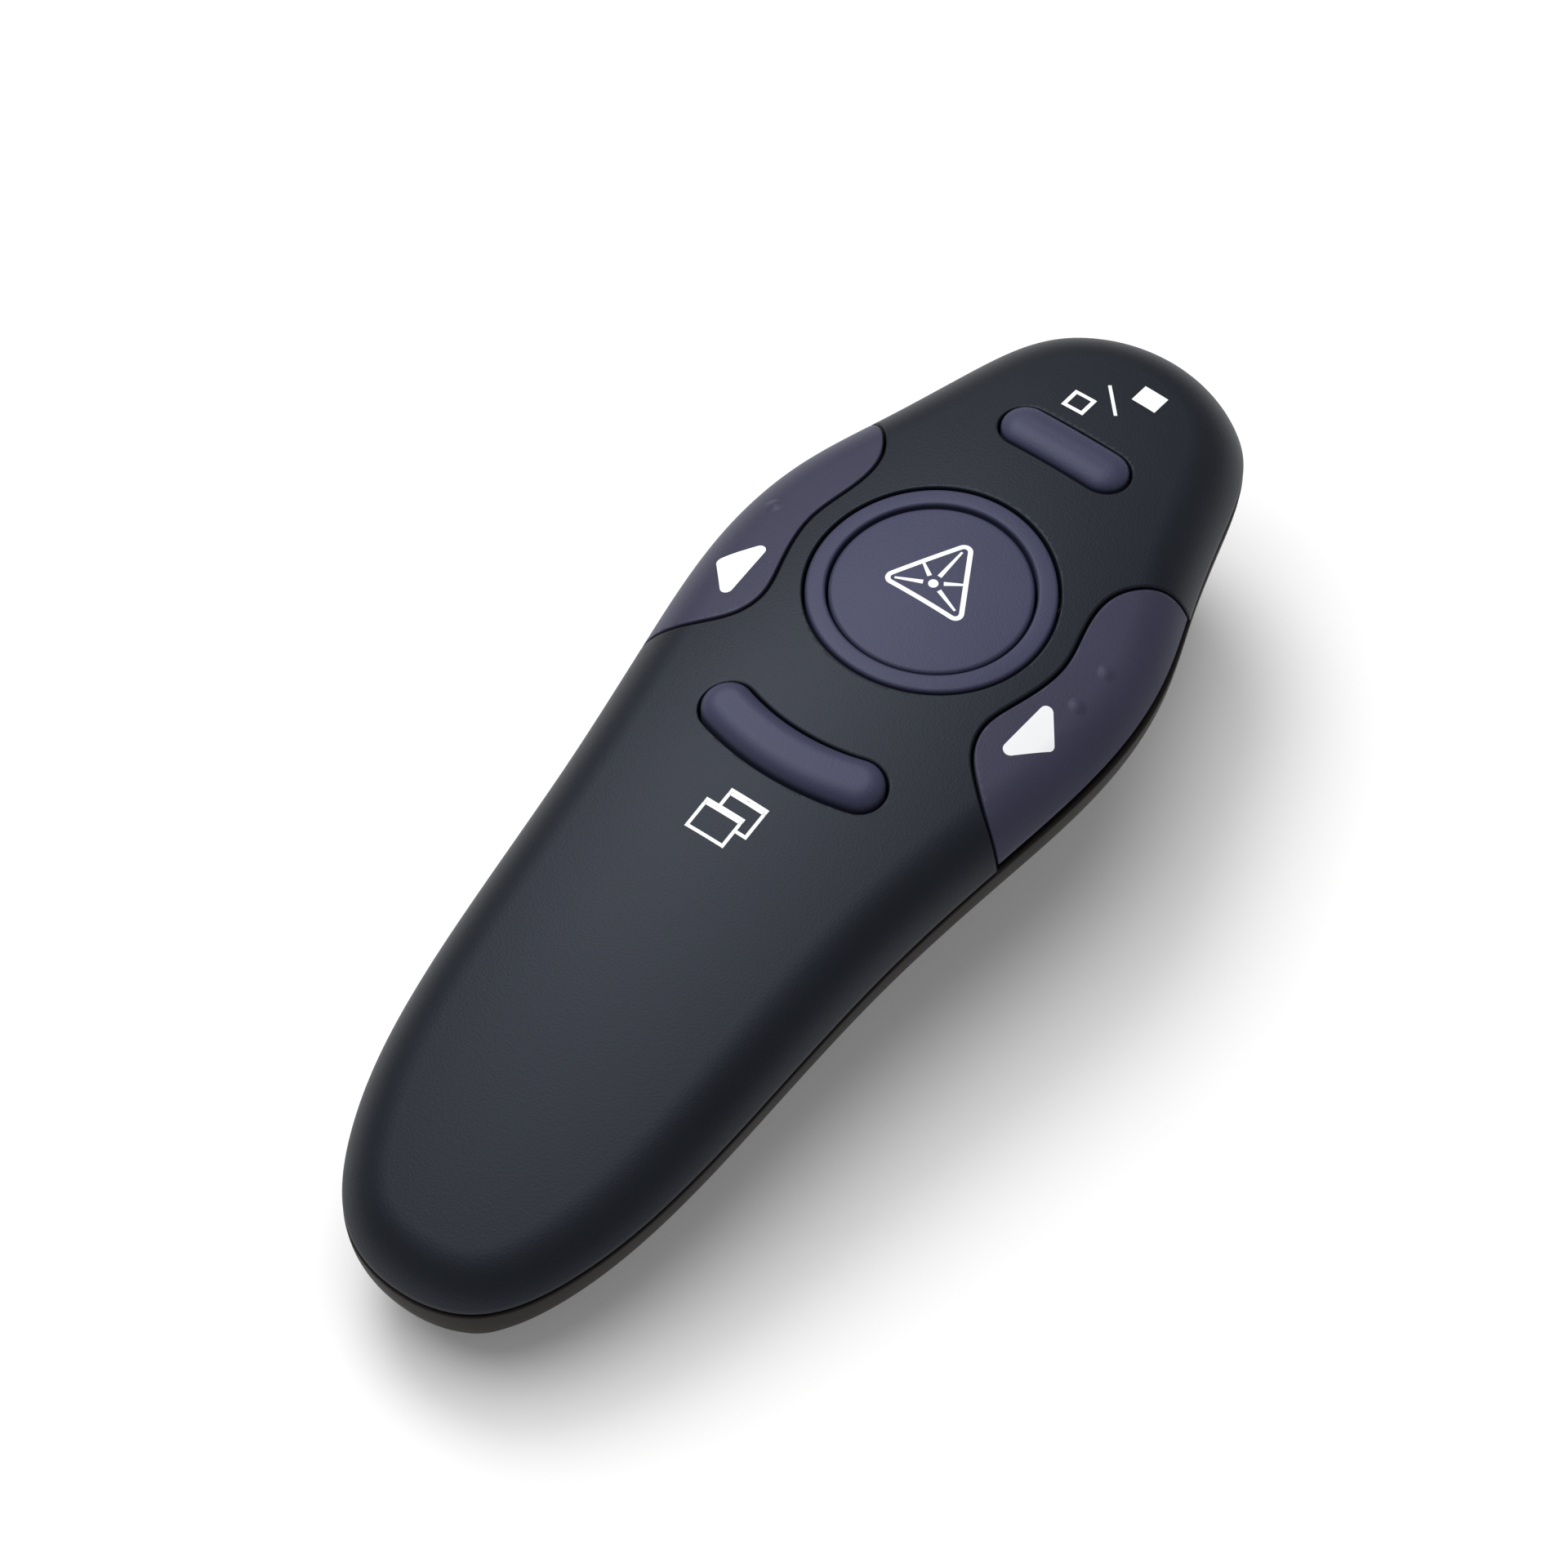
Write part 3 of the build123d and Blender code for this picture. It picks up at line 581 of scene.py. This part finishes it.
def innerBody():
    # the space inside the lower skin, reaching a little into it so that the walls grow out of it
    bite = lower["skinBite"]
    rows = lowerRows(hull["wall"] - bite)
    rim = seamHeight(edge[:, 1]) - lower["lidGap"]
    inside = edge + inward * (hull["wall"] - bite)

    def lid(px, py):
        return seamHeight(py) - lower["lidGap"]

    def base(px, py):
        return floorHeight(py) + hull["wall"] - bite

    stack = fillRows(inside, spine, lid, steps=3)[::-1] + [lift(inside, rim)] + rows
    return closeUp(gridObject("innerBody", stack + fillRows(rows[-1][:, :2], spine, base, steps=8)))


pocket = boxTool(-p - w, p + w, lower["pocketRear"] - w, lower["pocketFront"] + w, 0, lower["pocketTop"] + w)
combine(pocket, boxTool(*pocketBox), "DIFFERENCE")
cradle = boxTool(-lower["cradleHalf"], lower["cradleHalf"], lower["cradleRear"], lower["cradleFront"],
                 0, lower["laserHeight"])
combine(cradle, rodAlong(0, lower["laserHeight"], *lower["barrelCut"], lower["barrelRadius"]), "DIFFERENCE")
posts = []
for x, y, seat in lower["screwPosts"]:
    post = rodTool(x, y, 0, lower["postTop"], lower["postRadius"])
    combine(post, rodTool(x, y, below, seat, lower["headHole"]), "DIFFERENCE")
    posts.append(combine(post, rodTool(x, y, seat - 1, lower["postTop"] + 5, lower["screwHole"]), "DIFFERENCE"))
walls = [pocket, cradle] + posts
walls += [rodTool(x, y, 0, lower["boardHeight"], lower["boardPostRadius"]) for x, y in lower["boardPosts"]]
reach = lower["bayReach"]
walls.append(boxTool(-reach, reach, lower["bayRear"] - lower["bayWall"], lower["bayRear"],
                     0, lower["bayWallTop"] - lower["bayRearDrop"]))
walls.append(boxTool(-reach, reach, lower["bayFront"], lower["bayFront"] + lower["bayWall"],
                     0, lower["bayWallTop"]))
innerWalls = []
for number, wall in enumerate(walls):
    wall.name = "innerWall%d" % number
    innerWalls.append(combine(wall, innerBody(), "INTERSECT"))
innerWalls = joined("innerWalls", innerWalls)
closeUp(innerWalls)
print("inner walls", len(innerWalls.data.polygons))

# pad prints and touch dots, millimetres
prints = {
    "lift": 0.012, "line": 0.36, "thin": 0.3, "bar": 0.36, "barDown": 0.42, "tuck": 0.05,
    "squareOpen": ((-2.1, 41.1), 2.15), "squareFull": ((2.15, 45.3), (2.3, 2.05)),
    "stroke": ((-1.3, 44.4), (1.1, 41.8)),
    "windowFront": (-2.73, 1.08, -11.9, -8.9), "windowBack": (-1.55, 2.16, -10.3, -7.2),
    "triangle": [(-3.93, 16.01), (3.93, 16.01), (0, 23.04)], "triangleRound": 0.52, "triangleLine": 0.42,
    "spark": (-0.1, 17.85), "sparkRadius": 0.42, "rayStart": 0.85, "rayHalf": (0.2, 0.1),
    "rays": [(90, 4.0), (146, 2.5), (34, 2.65), (204, 3.2), (-21, 3.2)],
    "arrowNext": [(13.1, 7.55), (16.45, 11.65), (13.55, 15.4)], "arrowRound": 0.55,
    "arrowPrevious": [(-13.5, 7.2), (-16.9, 10.9), (-13.65, 14.6)],
    "dots": [(15.45, 20.2), (15.5, 16.1), (-16.35, 18.0)],
    "dotRadius": 0.95, "dotHeight": 0.17, "dotSink": 0.01,
}


def laid(name, left, right, surface, steps=4):
    # a strip of ink between two lines of points, laid just over the surface
    shares = np.linspace(0, 1, steps)[:, None, None]
    plans = left[None] * (1 - shares) + right[None] * shares
    rows = [lift(plan, surface(plan[:, 0], plan[:, 1]) + prints["lift"]) for plan in plans]
    piece = gridObject(name, rows, closedAround=False)
    piece.data.shade_smooth()
    return piece


def band(points, width, closed=True):
    # the two sides of a line of one width along straight runs, its corners mitred
    fine = 0.25
    p = np.asarray(points, float)
    ahead = np.roll(p, -1, 0) - p
    ahead /= np.linalg.norm(ahead, axis=1)[:, None]
    back = np.roll(ahead, 1, 0)
    if not closed:
        back[0], ahead[-1] = ahead[0], back[-1]
    side = np.stack([-(ahead + back)[:, 1], (ahead + back)[:, 0]], 1)
    side /= (1 + (ahead * back).sum(1))[:, None]
    left, right = p + side * width / 2, p - side * width / 2
    if closed:
        left, right = np.concatenate([left, left[:1]]), np.concatenate([right, right[:1]])
    runs = np.linalg.norm(np.diff(left, axis=0), axis=1)
    t = [np.linspace(k, k + 1, max(2, int(r / fine) + 1))[:-1] for k, r in enumerate(runs)]
    t = np.concatenate(t + [[len(runs)]])
    k = np.arange(len(left))
    return [np.stack([np.interp(t, k, q[:, 0]), np.interp(t, k, q[:, 1])], 1) for q in (left, right)]


def roundedCorners(points, radii):
    # each corner swapped for an arc tangent to both its sides
    steps = 8
    p = np.asarray(points, float)
    result = []
    for k, r in enumerate(radii):
        a, b, c = p[k - 1], p[k], p[(k + 1) % len(p)]
        u, v = (a - b) / np.linalg.norm(a - b), (c - b) / np.linalg.norm(c - b)
        half = math.acos(np.clip(u @ v, -1, 1)) / 2
        middle = b + (u + v) / np.linalg.norm(u + v) * r / math.sin(half)
        start, stop = b + u * r / math.tan(half) - middle, b + v * r / math.tan(half) - middle
        total = math.atan2(start[0] * stop[1] - start[1] * stop[0], start @ stop)
        for share in np.linspace(0, 1, steps):
            c1, s1 = math.cos(total * share), math.sin(total * share)
            result.append(middle + (start[0] * c1 - start[1] * s1, start[0] * s1 + start[1] * c1))
    return np.array(result)


def filled(name, ring, surface, steps=8):
    # a filled patch: rings that shrink from its edge to its middle
    ring = np.concatenate([ring, ring[:1]])
    return laid(name, ring, np.broadcast_to(ring[:-1].mean(0), ring.shape).copy(), surface, steps)


def divided(points):
    # a closed ring with points added along its straight runs
    fine = 0.2
    p = np.asarray(points, float)
    result = []
    for a, b in zip(p, np.roll(p, -1, 0)):
        count = max(1, int(np.linalg.norm(b - a) / fine))
        result.append(a + (b - a) * np.linspace(0, 1, count, endpoint=False)[:, None])
    return np.concatenate(result)


def rectangle(x0, x1, y0, y1):
    return [(x0, y0), (x1, y0), (x1, y1), (x0, y1)]


def windowBar(name, x0, x1, top):
    # the title bar of a window frame
    y = top - prints["barDown"]
    return laid(name, *band([(x0, y), (x1, y)], prints["bar"], closed=False), crownHeight)


ink = []
(cx, cy), size = prints["squareOpen"]
h = (size - prints["line"]) / 2
ink.append(laid("squareOpen", *band(rectangle(cx - h, cx + h, cy - h, cy + h), prints["line"]), crownHeight))
(cx, cy), (sx, sy) = prints["squareFull"]
square = rectangle(cx - sx / 2, cx + sx / 2, cy - sy / 2, cy + sy / 2)
ink.append(filled("squareFull", divided(square), crownHeight))
thin = prints["thin"]
ink.append(laid("strokePrint", *band(prints["stroke"], thin, closed=False), crownHeight))
x0, x1, y0, y1 = prints["windowFront"]
inFront = rectangle(x0 + thin / 2, x1 - thin / 2, y0 + thin / 2, y1 - thin / 2)
ink.append(laid("windowFront", *band(inFront, thin), crownHeight))
ink.append(windowBar("windowFrontBar", x0, x1, y1))
u0, u1, v0, v1 = prints["windowBack"]
behind = [(u0 + thin / 2, y1 - prints["tuck"]), (u0 + thin / 2, v1 - thin / 2),
          (u1 - thin / 2, v1 - thin / 2), (u1 - thin / 2, v0 + thin / 2), (x1 - prints["tuck"], v0 + thin / 2)]
ink.append(laid("windowBack", *band(behind, thin, closed=False), crownHeight))
ink.append(windowBar("windowBackBar", u0, u1, v1))
corners = roundedCorners(prints["triangle"], [prints["triangleRound"]] * 3)
ink.append(laid("triangleLine", *band(corners, prints["triangleLine"]), keyTop))
spark = np.array(prints["spark"])
ink.append(filled("triangleDot", circleAt(*spark, prints["sparkRadius"], 40)[0], keyTop, 4))
wide, slim = prints["rayHalf"]
for number, (turn, reach) in enumerate(prints["rays"]):
    d = np.array([math.cos(math.radians(turn)), math.sin(math.radians(turn))])
    n = np.array([-d[1], d[0]])
    start, stop = spark + d * prints["rayStart"], spark + d * reach
    ink.append(laid("ray%d" % number, np.stack([start + n * wide, stop + n * slim]),
                    np.stack([start - n * wide, stop - n * slim]), keyTop))
arrows = []
for name in ("arrowNext", "arrowPrevious"):
    corner = roundedCorners(prints[name], [prints["arrowRound"]] * 3)
    arrows.append(filled(name, divided(corner), topHeight))
dots = []
for number, (x, y) in enumerate(prints["dots"]):
    # a bell-shaped bump: its height falls with the squared cosine of the distance from its middle
    rows = []
    for share in np.linspace(0, 1, 14):
        ring = circleAt(x, y, prints["dotRadius"] * (1 - share), 48)[0]
        bell = prints["dotHeight"] * math.sin(share * math.pi / 2) ** 2
        rows.append(lift(ring, topHeight(ring[:, 0], ring[:, 1]) - prints["dotSink"] + bell))
    dots.append(closeUp(gridObject("touchDot%d" % number, rows), 80))
print("prints", len(ink) + len(arrows), "touch dots", len(dots))


def linear(text):
    # sRGB hex to linear colour
    value = np.array([int(text[i:i + 2], 16) for i in (1, 3, 5)]) / 255
    return (*np.where(value <= 0.04045, value / 12.92, ((value + 0.055) / 1.055) ** 2.4), 1.0)


def addNode(tree, kind, settings=None, inputs=None):
    # one shader node with its settings, its values and its links
    node = tree.nodes.new("ShaderNode" + kind)
    for key, value in (settings or {}).items():
        setattr(node, key, value)
    for key, value in (inputs or {}).items():
        if isinstance(value, bpy.types.NodeSocket):
            tree.links.new(value, node.inputs[key])
        else:
            node.inputs[key].default_value = value
    return node


def finish(name, colour, rough, metal=0.0, ior=1.5, grain=0.25, deep=0.01, mottle=9.0, vary=0.10,
           roughVary=0.03, coat=0.0, shine=0.5, tint=(1, 1, 1, 1), transmission=0.0, strength=0.5):
    # grain and mottle are sizes in millimetres, deep the height of the grain in millimetres; shine and
    # tint are the strength and the colour of the highlight. A range node takes a value and the ends of
    # the range it comes from and goes to
    material = bpy.data.materials.new(name)
    material.use_nodes = True
    tree = material.node_tree
    tree.nodes.clear()
    place = addNode(tree, "TexCoord").outputs["Object"]
    broad = addNode(tree, "TexNoise", None, {"Vector": place, "Scale": 1 / (mottle * mm), "Detail": 3.0})
    fine = addNode(tree, "TexNoise", None, {"Vector": place, "Scale": 1 / (grain * mm), "Detail": 2.0})
    both = addNode(tree, "Math", {"operation": "MULTIPLY_ADD"},
                   {0: fine.outputs["Fac"], 1: 0.45, 2: broad.outputs["Fac"]})
    tone = addNode(tree, "MapRange", None, {0: both.outputs[0], 1: 0.5, 2: 0.95, 3: 1 - vary, 4: 1 + vary})
    toned = addNode(tree, "VectorMath", {"operation": "SCALE"},
                    {0: linear(colour)[:3], "Scale": tone.outputs[0]})
    roughness = addNode(tree, "MapRange", None,
                        {0: broad.outputs["Fac"], 1: 0.3, 2: 0.7, 3: rough - roughVary, 4: rough + roughVary})
    bump = addNode(tree, "Bump", None,
                   {"Strength": strength, "Distance": deep * mm, "Height": fine.outputs["Fac"]})
    shader = addNode(tree, "BsdfPrincipled", None, {
        "Base Color": toned.outputs[0], "Roughness": roughness.outputs[0], "Normal": bump.outputs[0],
        "Metallic": metal, "IOR": ior, "Specular IOR Level": shine, "Specular Tint": tint,
        "Coat Weight": coat, "Coat Roughness": 0.3, "Transmission Weight": transmission,
    })
    addNode(tree, "OutputMaterial", None, {"Surface": shader.outputs[0]})
    material["shader"] = shader.name
    return material


def softPaint(name, colour, tint, vary=0.06):
    return finish(name, colour, 0.48, grain=0.2, deep=0.03, vary=vary, roughVary=0.01, strength=0.7,
                  shine=0.3, tint=tint)


# soft-touch polyurethane paint over ABS: almost black, a wide dull highlight and a faint sprayed grain
softTouch = softPaint("softTouchPaint", "#181b21", (0.75, 0.82, 1.0, 1), vary=0.07)
# the same paint with a violet grey pigment, on the keys
keyPaint = softPaint("softTouchPaintViolet", "#3d3e55", (0.78, 0.8, 1.0, 1))
wingPaint = softPaint("softTouchPaintDusk", "#39394c", (0.78, 0.8, 1.0, 1))
# moulded ABS with a spark-eroded skin: warm black, coarser grain
sparkAbs = finish("sparkErodedAbs", "#1d1916", 0.62, grain=0.3, deep=0.02, vary=0.08, shine=0.22)
insideAbs = finish("mouldedAbs", "#232322", 0.45, grain=0.6, deep=0.005)
# pad-print ink: opaque white, thin, slightly satin
printInk = finish("padPrintInk", "#fcfdff", 0.5, grain=0.2, deep=0.004, vary=0.015, roughVary=0.04)
nylonBlack = finish("mouldedNylonBlack", "#1c1c1e", 0.45, grain=0.3, deep=0.006)
nylonGrey = finish("mouldedNylonGrey", "#5a5a5c", 0.45, grain=0.3, deep=0.006)
glassEpoxy = finish("solderMaskGreen", "#1c5a34", 0.35, grain=0.5, deep=0.01, mottle=1.6, vary=0.22, coat=0.3)
chipEpoxy = finish("mouldedEpoxyBlack", "#1a1a1c", 0.6, grain=0.15, deep=0.006)
tinPlate = finish("tinPlatedSteel", "#c8c8c6", 0.32, metal=1.0, grain=0.4, deep=0.004)
nickelSteel = finish("nickelPlatedSteel", "#d2cfc6", 0.26, metal=1.0, grain=0.4, deep=0.004)
zincSteel = finish("zincPlatedSteel", "#a9abb0", 0.36, metal=1.0, grain=0.3, deep=0.006)
turnedBrass = finish("turnedBrass", "#c9a45c", 0.30, metal=1.0, grain=0.12, deep=0.006)
clearAcrylic = finish("clearAcrylicRed", "#8e2a26", 0.08, ior=1.49, grain=1.0, deep=0.001, vary=0.02,
                      transmission=0.6)
whitePlastic = finish("mouldedPbtWhite", "#dcdad2", 0.45, grain=0.3, deep=0.006, vary=0.03)
capPlastic = finish("polishedAbsBlack", "#161618", 0.22, grain=0.5, deep=0.002, coat=0.3)


def cellJacket():
    # shrink-wrapped jacket: dark up to copperFrom along the cell, in metres, and copper beyond it
    copperFrom = 0.0005
    material = finish("shrinkJacket", "#2b2f36", 0.3, grain=0.6, deep=0.003, coat=0.4)
    tree = material.node_tree
    shader = tree.nodes[material["shader"]]
    place = addNode(tree, "TexCoord").outputs["Object"]
    y = addNode(tree, "SeparateXYZ", None, {0: place}).outputs["Y"]
    copper = addNode(tree, "Math", {"operation": "GREATER_THAN"}, {0: y, 1: copperFrom})
    mixed = addNode(tree, "MixRGB", None, {
        "Fac": copper.outputs[0], "Color1": shader.inputs["Base Color"].links[0].from_socket,
        "Color2": linear("#a86a3c")})
    tree.links.new(mixed.outputs[0], shader.inputs["Base Color"])
    return material


jacket = cellJacket()


def wear(piece, material):
    piece.data.materials.clear()
    piece.data.materials.append(material)


finishes = {
    "switch_housings": nylonBlack, "stem_laser": nylonGrey, "stem_blank": nylonGrey, "stem_window": nylonGrey,
    "stem_next": nylonGrey, "stem_previous": nylonGrey, "circuit_board": glassEpoxy, "radio_chip": chipEpoxy,
    "memory_chip": chipEpoxy, "crystal": tinPlate, "battery_left": jacket, "battery_right": jacket,
    "plate_contact": nickelSteel, "spring_contact": nickelSteel, "bridge_contact": nickelSteel,
    "laser_barrel": turnedBrass, "laser_diode": tinPlate, "laser_lens": clearAcrylic, "laser_board": glassEpoxy,
    "laser_clamp": nickelSteel, "nose_window": clearAcrylic, "receiver_cap": capPlastic,
    "receiver_plug": nickelSteel, "receiver_tongue": whitePlastic, "power_slider": nylonGrey,
    "power_body": tinPlate, "shell_screws": zincSteel, "board_screws": zincSteel,
}
for node, material in finishes.items():
    wear(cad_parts[node], material)


def place(piece, material, body, slot, *nodes):
    wear(piece, material)
    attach(piece, body)
    if nodes:
        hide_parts(*nodes)


place(topShell, softTouch, "housing", "soft_touch_shell", "top_shell")
place(bottomShell, sparkAbs, "housing", "lower_shell", "bottom_shell")
place(innerWalls, insideAbs, "housing", "lower_shell")
place(batteryDoor, sparkAbs, "battery_door", "lower_shell", "battery_door")
place(laserRing, keyPaint, "housing", "key_plastic", "laser_ring")
place(laserKey, keyPaint, "laser_key", "key_plastic", "laser_key")
place(pillKey, keyPaint, "blank_key", "key_plastic", "blank_key")
place(beanKey, keyPaint, "window_key", "key_plastic", "window_key")
place(wings[0], wingPaint, "next_key", "wing_plastic", "next_key")
place(wings[1], wingPaint, "previous_key", "wing_plastic", "previous_key")
for piece in ink:
    onKey = piece.name.startswith(("triangle", "ray"))
    place(piece, printInk, "laser_key" if onKey else "housing", "key_plastic" if onKey else "soft_touch_shell")
for piece, body in zip(arrows, ("next_key", "previous_key")):
    place(piece, printInk, body, "wing_plastic")
for piece, (x, y) in zip(dots, prints["dots"]):
    place(piece, wingPaint, "next_key" if x > 0 else "previous_key", "wing_plastic")
print("materials")

# floor, light and camera, metres and watts
stage = {
    "eye": (0.18155, -0.24481, 0.44639), "ahead": (-0.3475, 0.4640, -0.8148), "right": (0.8004, 0.5994, 0.0),
    "lens": 150.1, "keyPower": 17, "keyPlace": (-0.36, 0.06, 1.35), "keySize": 1.65,
    "fillPower": 2.8, "fillPlace": (-0.5, 0.3, 0.78), "fillSize": 0.5, "sky": 0.17,
    "floorSize": 6.0, "floorDrop": 0.0001, "floorWhite": 0.92, "floorGlow": 0.14,
}
bpy.ops.mesh.primitive_plane_add(size=stage["floorSize"], location=(0, 0, -stage["floorDrop"]))
floor = bpy.context.object
floor.name = "floor"
paper = bpy.data.materials.new("whitePaper")
paper.use_nodes = True
tree = paper.node_tree
tree.nodes.clear()
# the paper glows a little where the camera, a reflection or a clear piece looks at it
ray = addNode(tree, "LightPath")
seen = ray.outputs["Is Camera Ray"]
for kind in ("Is Glossy Ray", "Is Transmission Ray"):
    seen = addNode(tree, "Math", {"operation": "MAXIMUM"}, {0: seen, 1: ray.outputs[kind]}).outputs[0]
lit = addNode(tree, "BsdfDiffuse", None, {"Color": (*[stage["floorWhite"]] * 3, 1)})
glow = addNode(tree, "Emission", None, {"Color": (1, 1, 1, 1), "Strength": stage["floorGlow"]})
dark = addNode(tree, "Emission", None, {"Color": (0, 0, 0, 1), "Strength": 0.0})
extra = addNode(tree, "MixShader", None, {0: seen, 1: dark.outputs[0], 2: glow.outputs[0]})
total = addNode(tree, "AddShader", None, {0: lit.outputs[0], 1: extra.outputs[0]})
addNode(tree, "OutputMaterial", None, {"Surface": total.outputs[0]})
wear(floor, paper)

world = bpy.data.worlds.new("studio")
bpy.context.scene.world = world
world.use_nodes = True
tree = world.node_tree
tree.nodes.clear()
ray = addNode(tree, "LightPath")
plain = addNode(tree, "Background", None, {"Color": (1, 1, 1, 1), "Strength": stage["sky"]})
white = addNode(tree, "Background", None, {"Color": (1, 1, 1, 1), "Strength": 1.0})
mixed = addNode(tree, "MixShader", None,
                {0: ray.outputs["Is Camera Ray"], 1: plain.outputs[0], 2: white.outputs[0]})
addNode(tree, "OutputWorld", None, {"Surface": mixed.outputs[0]})


def softbox(name, power, at, size):
    light = bpy.data.lights.new(name, "AREA")
    light.shape, light.size, light.energy = "DISK", size, power
    lamp = bpy.data.objects.new(name, light)
    lamp.location = at
    lamp.rotation_euler = (-Vector(at)).to_track_quat("-Z", "Y").to_euler()
    bpy.context.scene.collection.objects.link(lamp)


softbox("keyLight", stage["keyPower"], stage["keyPlace"], stage["keySize"])
softbox("fillLight", stage["fillPower"], stage["fillPlace"], stage["fillSize"])

lens = bpy.data.cameras.new("camera")
lens.lens, lens.sensor_width, lens.clip_start, lens.clip_end = stage["lens"], 36.0, 0.01, 20.0
camera = bpy.data.objects.new("camera", lens)
bpy.context.scene.collection.objects.link(camera)
ahead, right = Vector(stage["ahead"]).normalized(), Vector(stage["right"]).normalized()
up = right.cross(ahead)
camera.matrix_world = Matrix.Translation(stage["eye"]) @ Matrix(
    ((right.x, up.x, -ahead.x), (right.y, up.y, -ahead.y), (right.z, up.z, -ahead.z))).to_4x4()
bpy.context.scene.camera = camera
bpy.context.scene.view_settings.view_transform = "Standard"
print("stage")

bpy.context.view_layer.update()
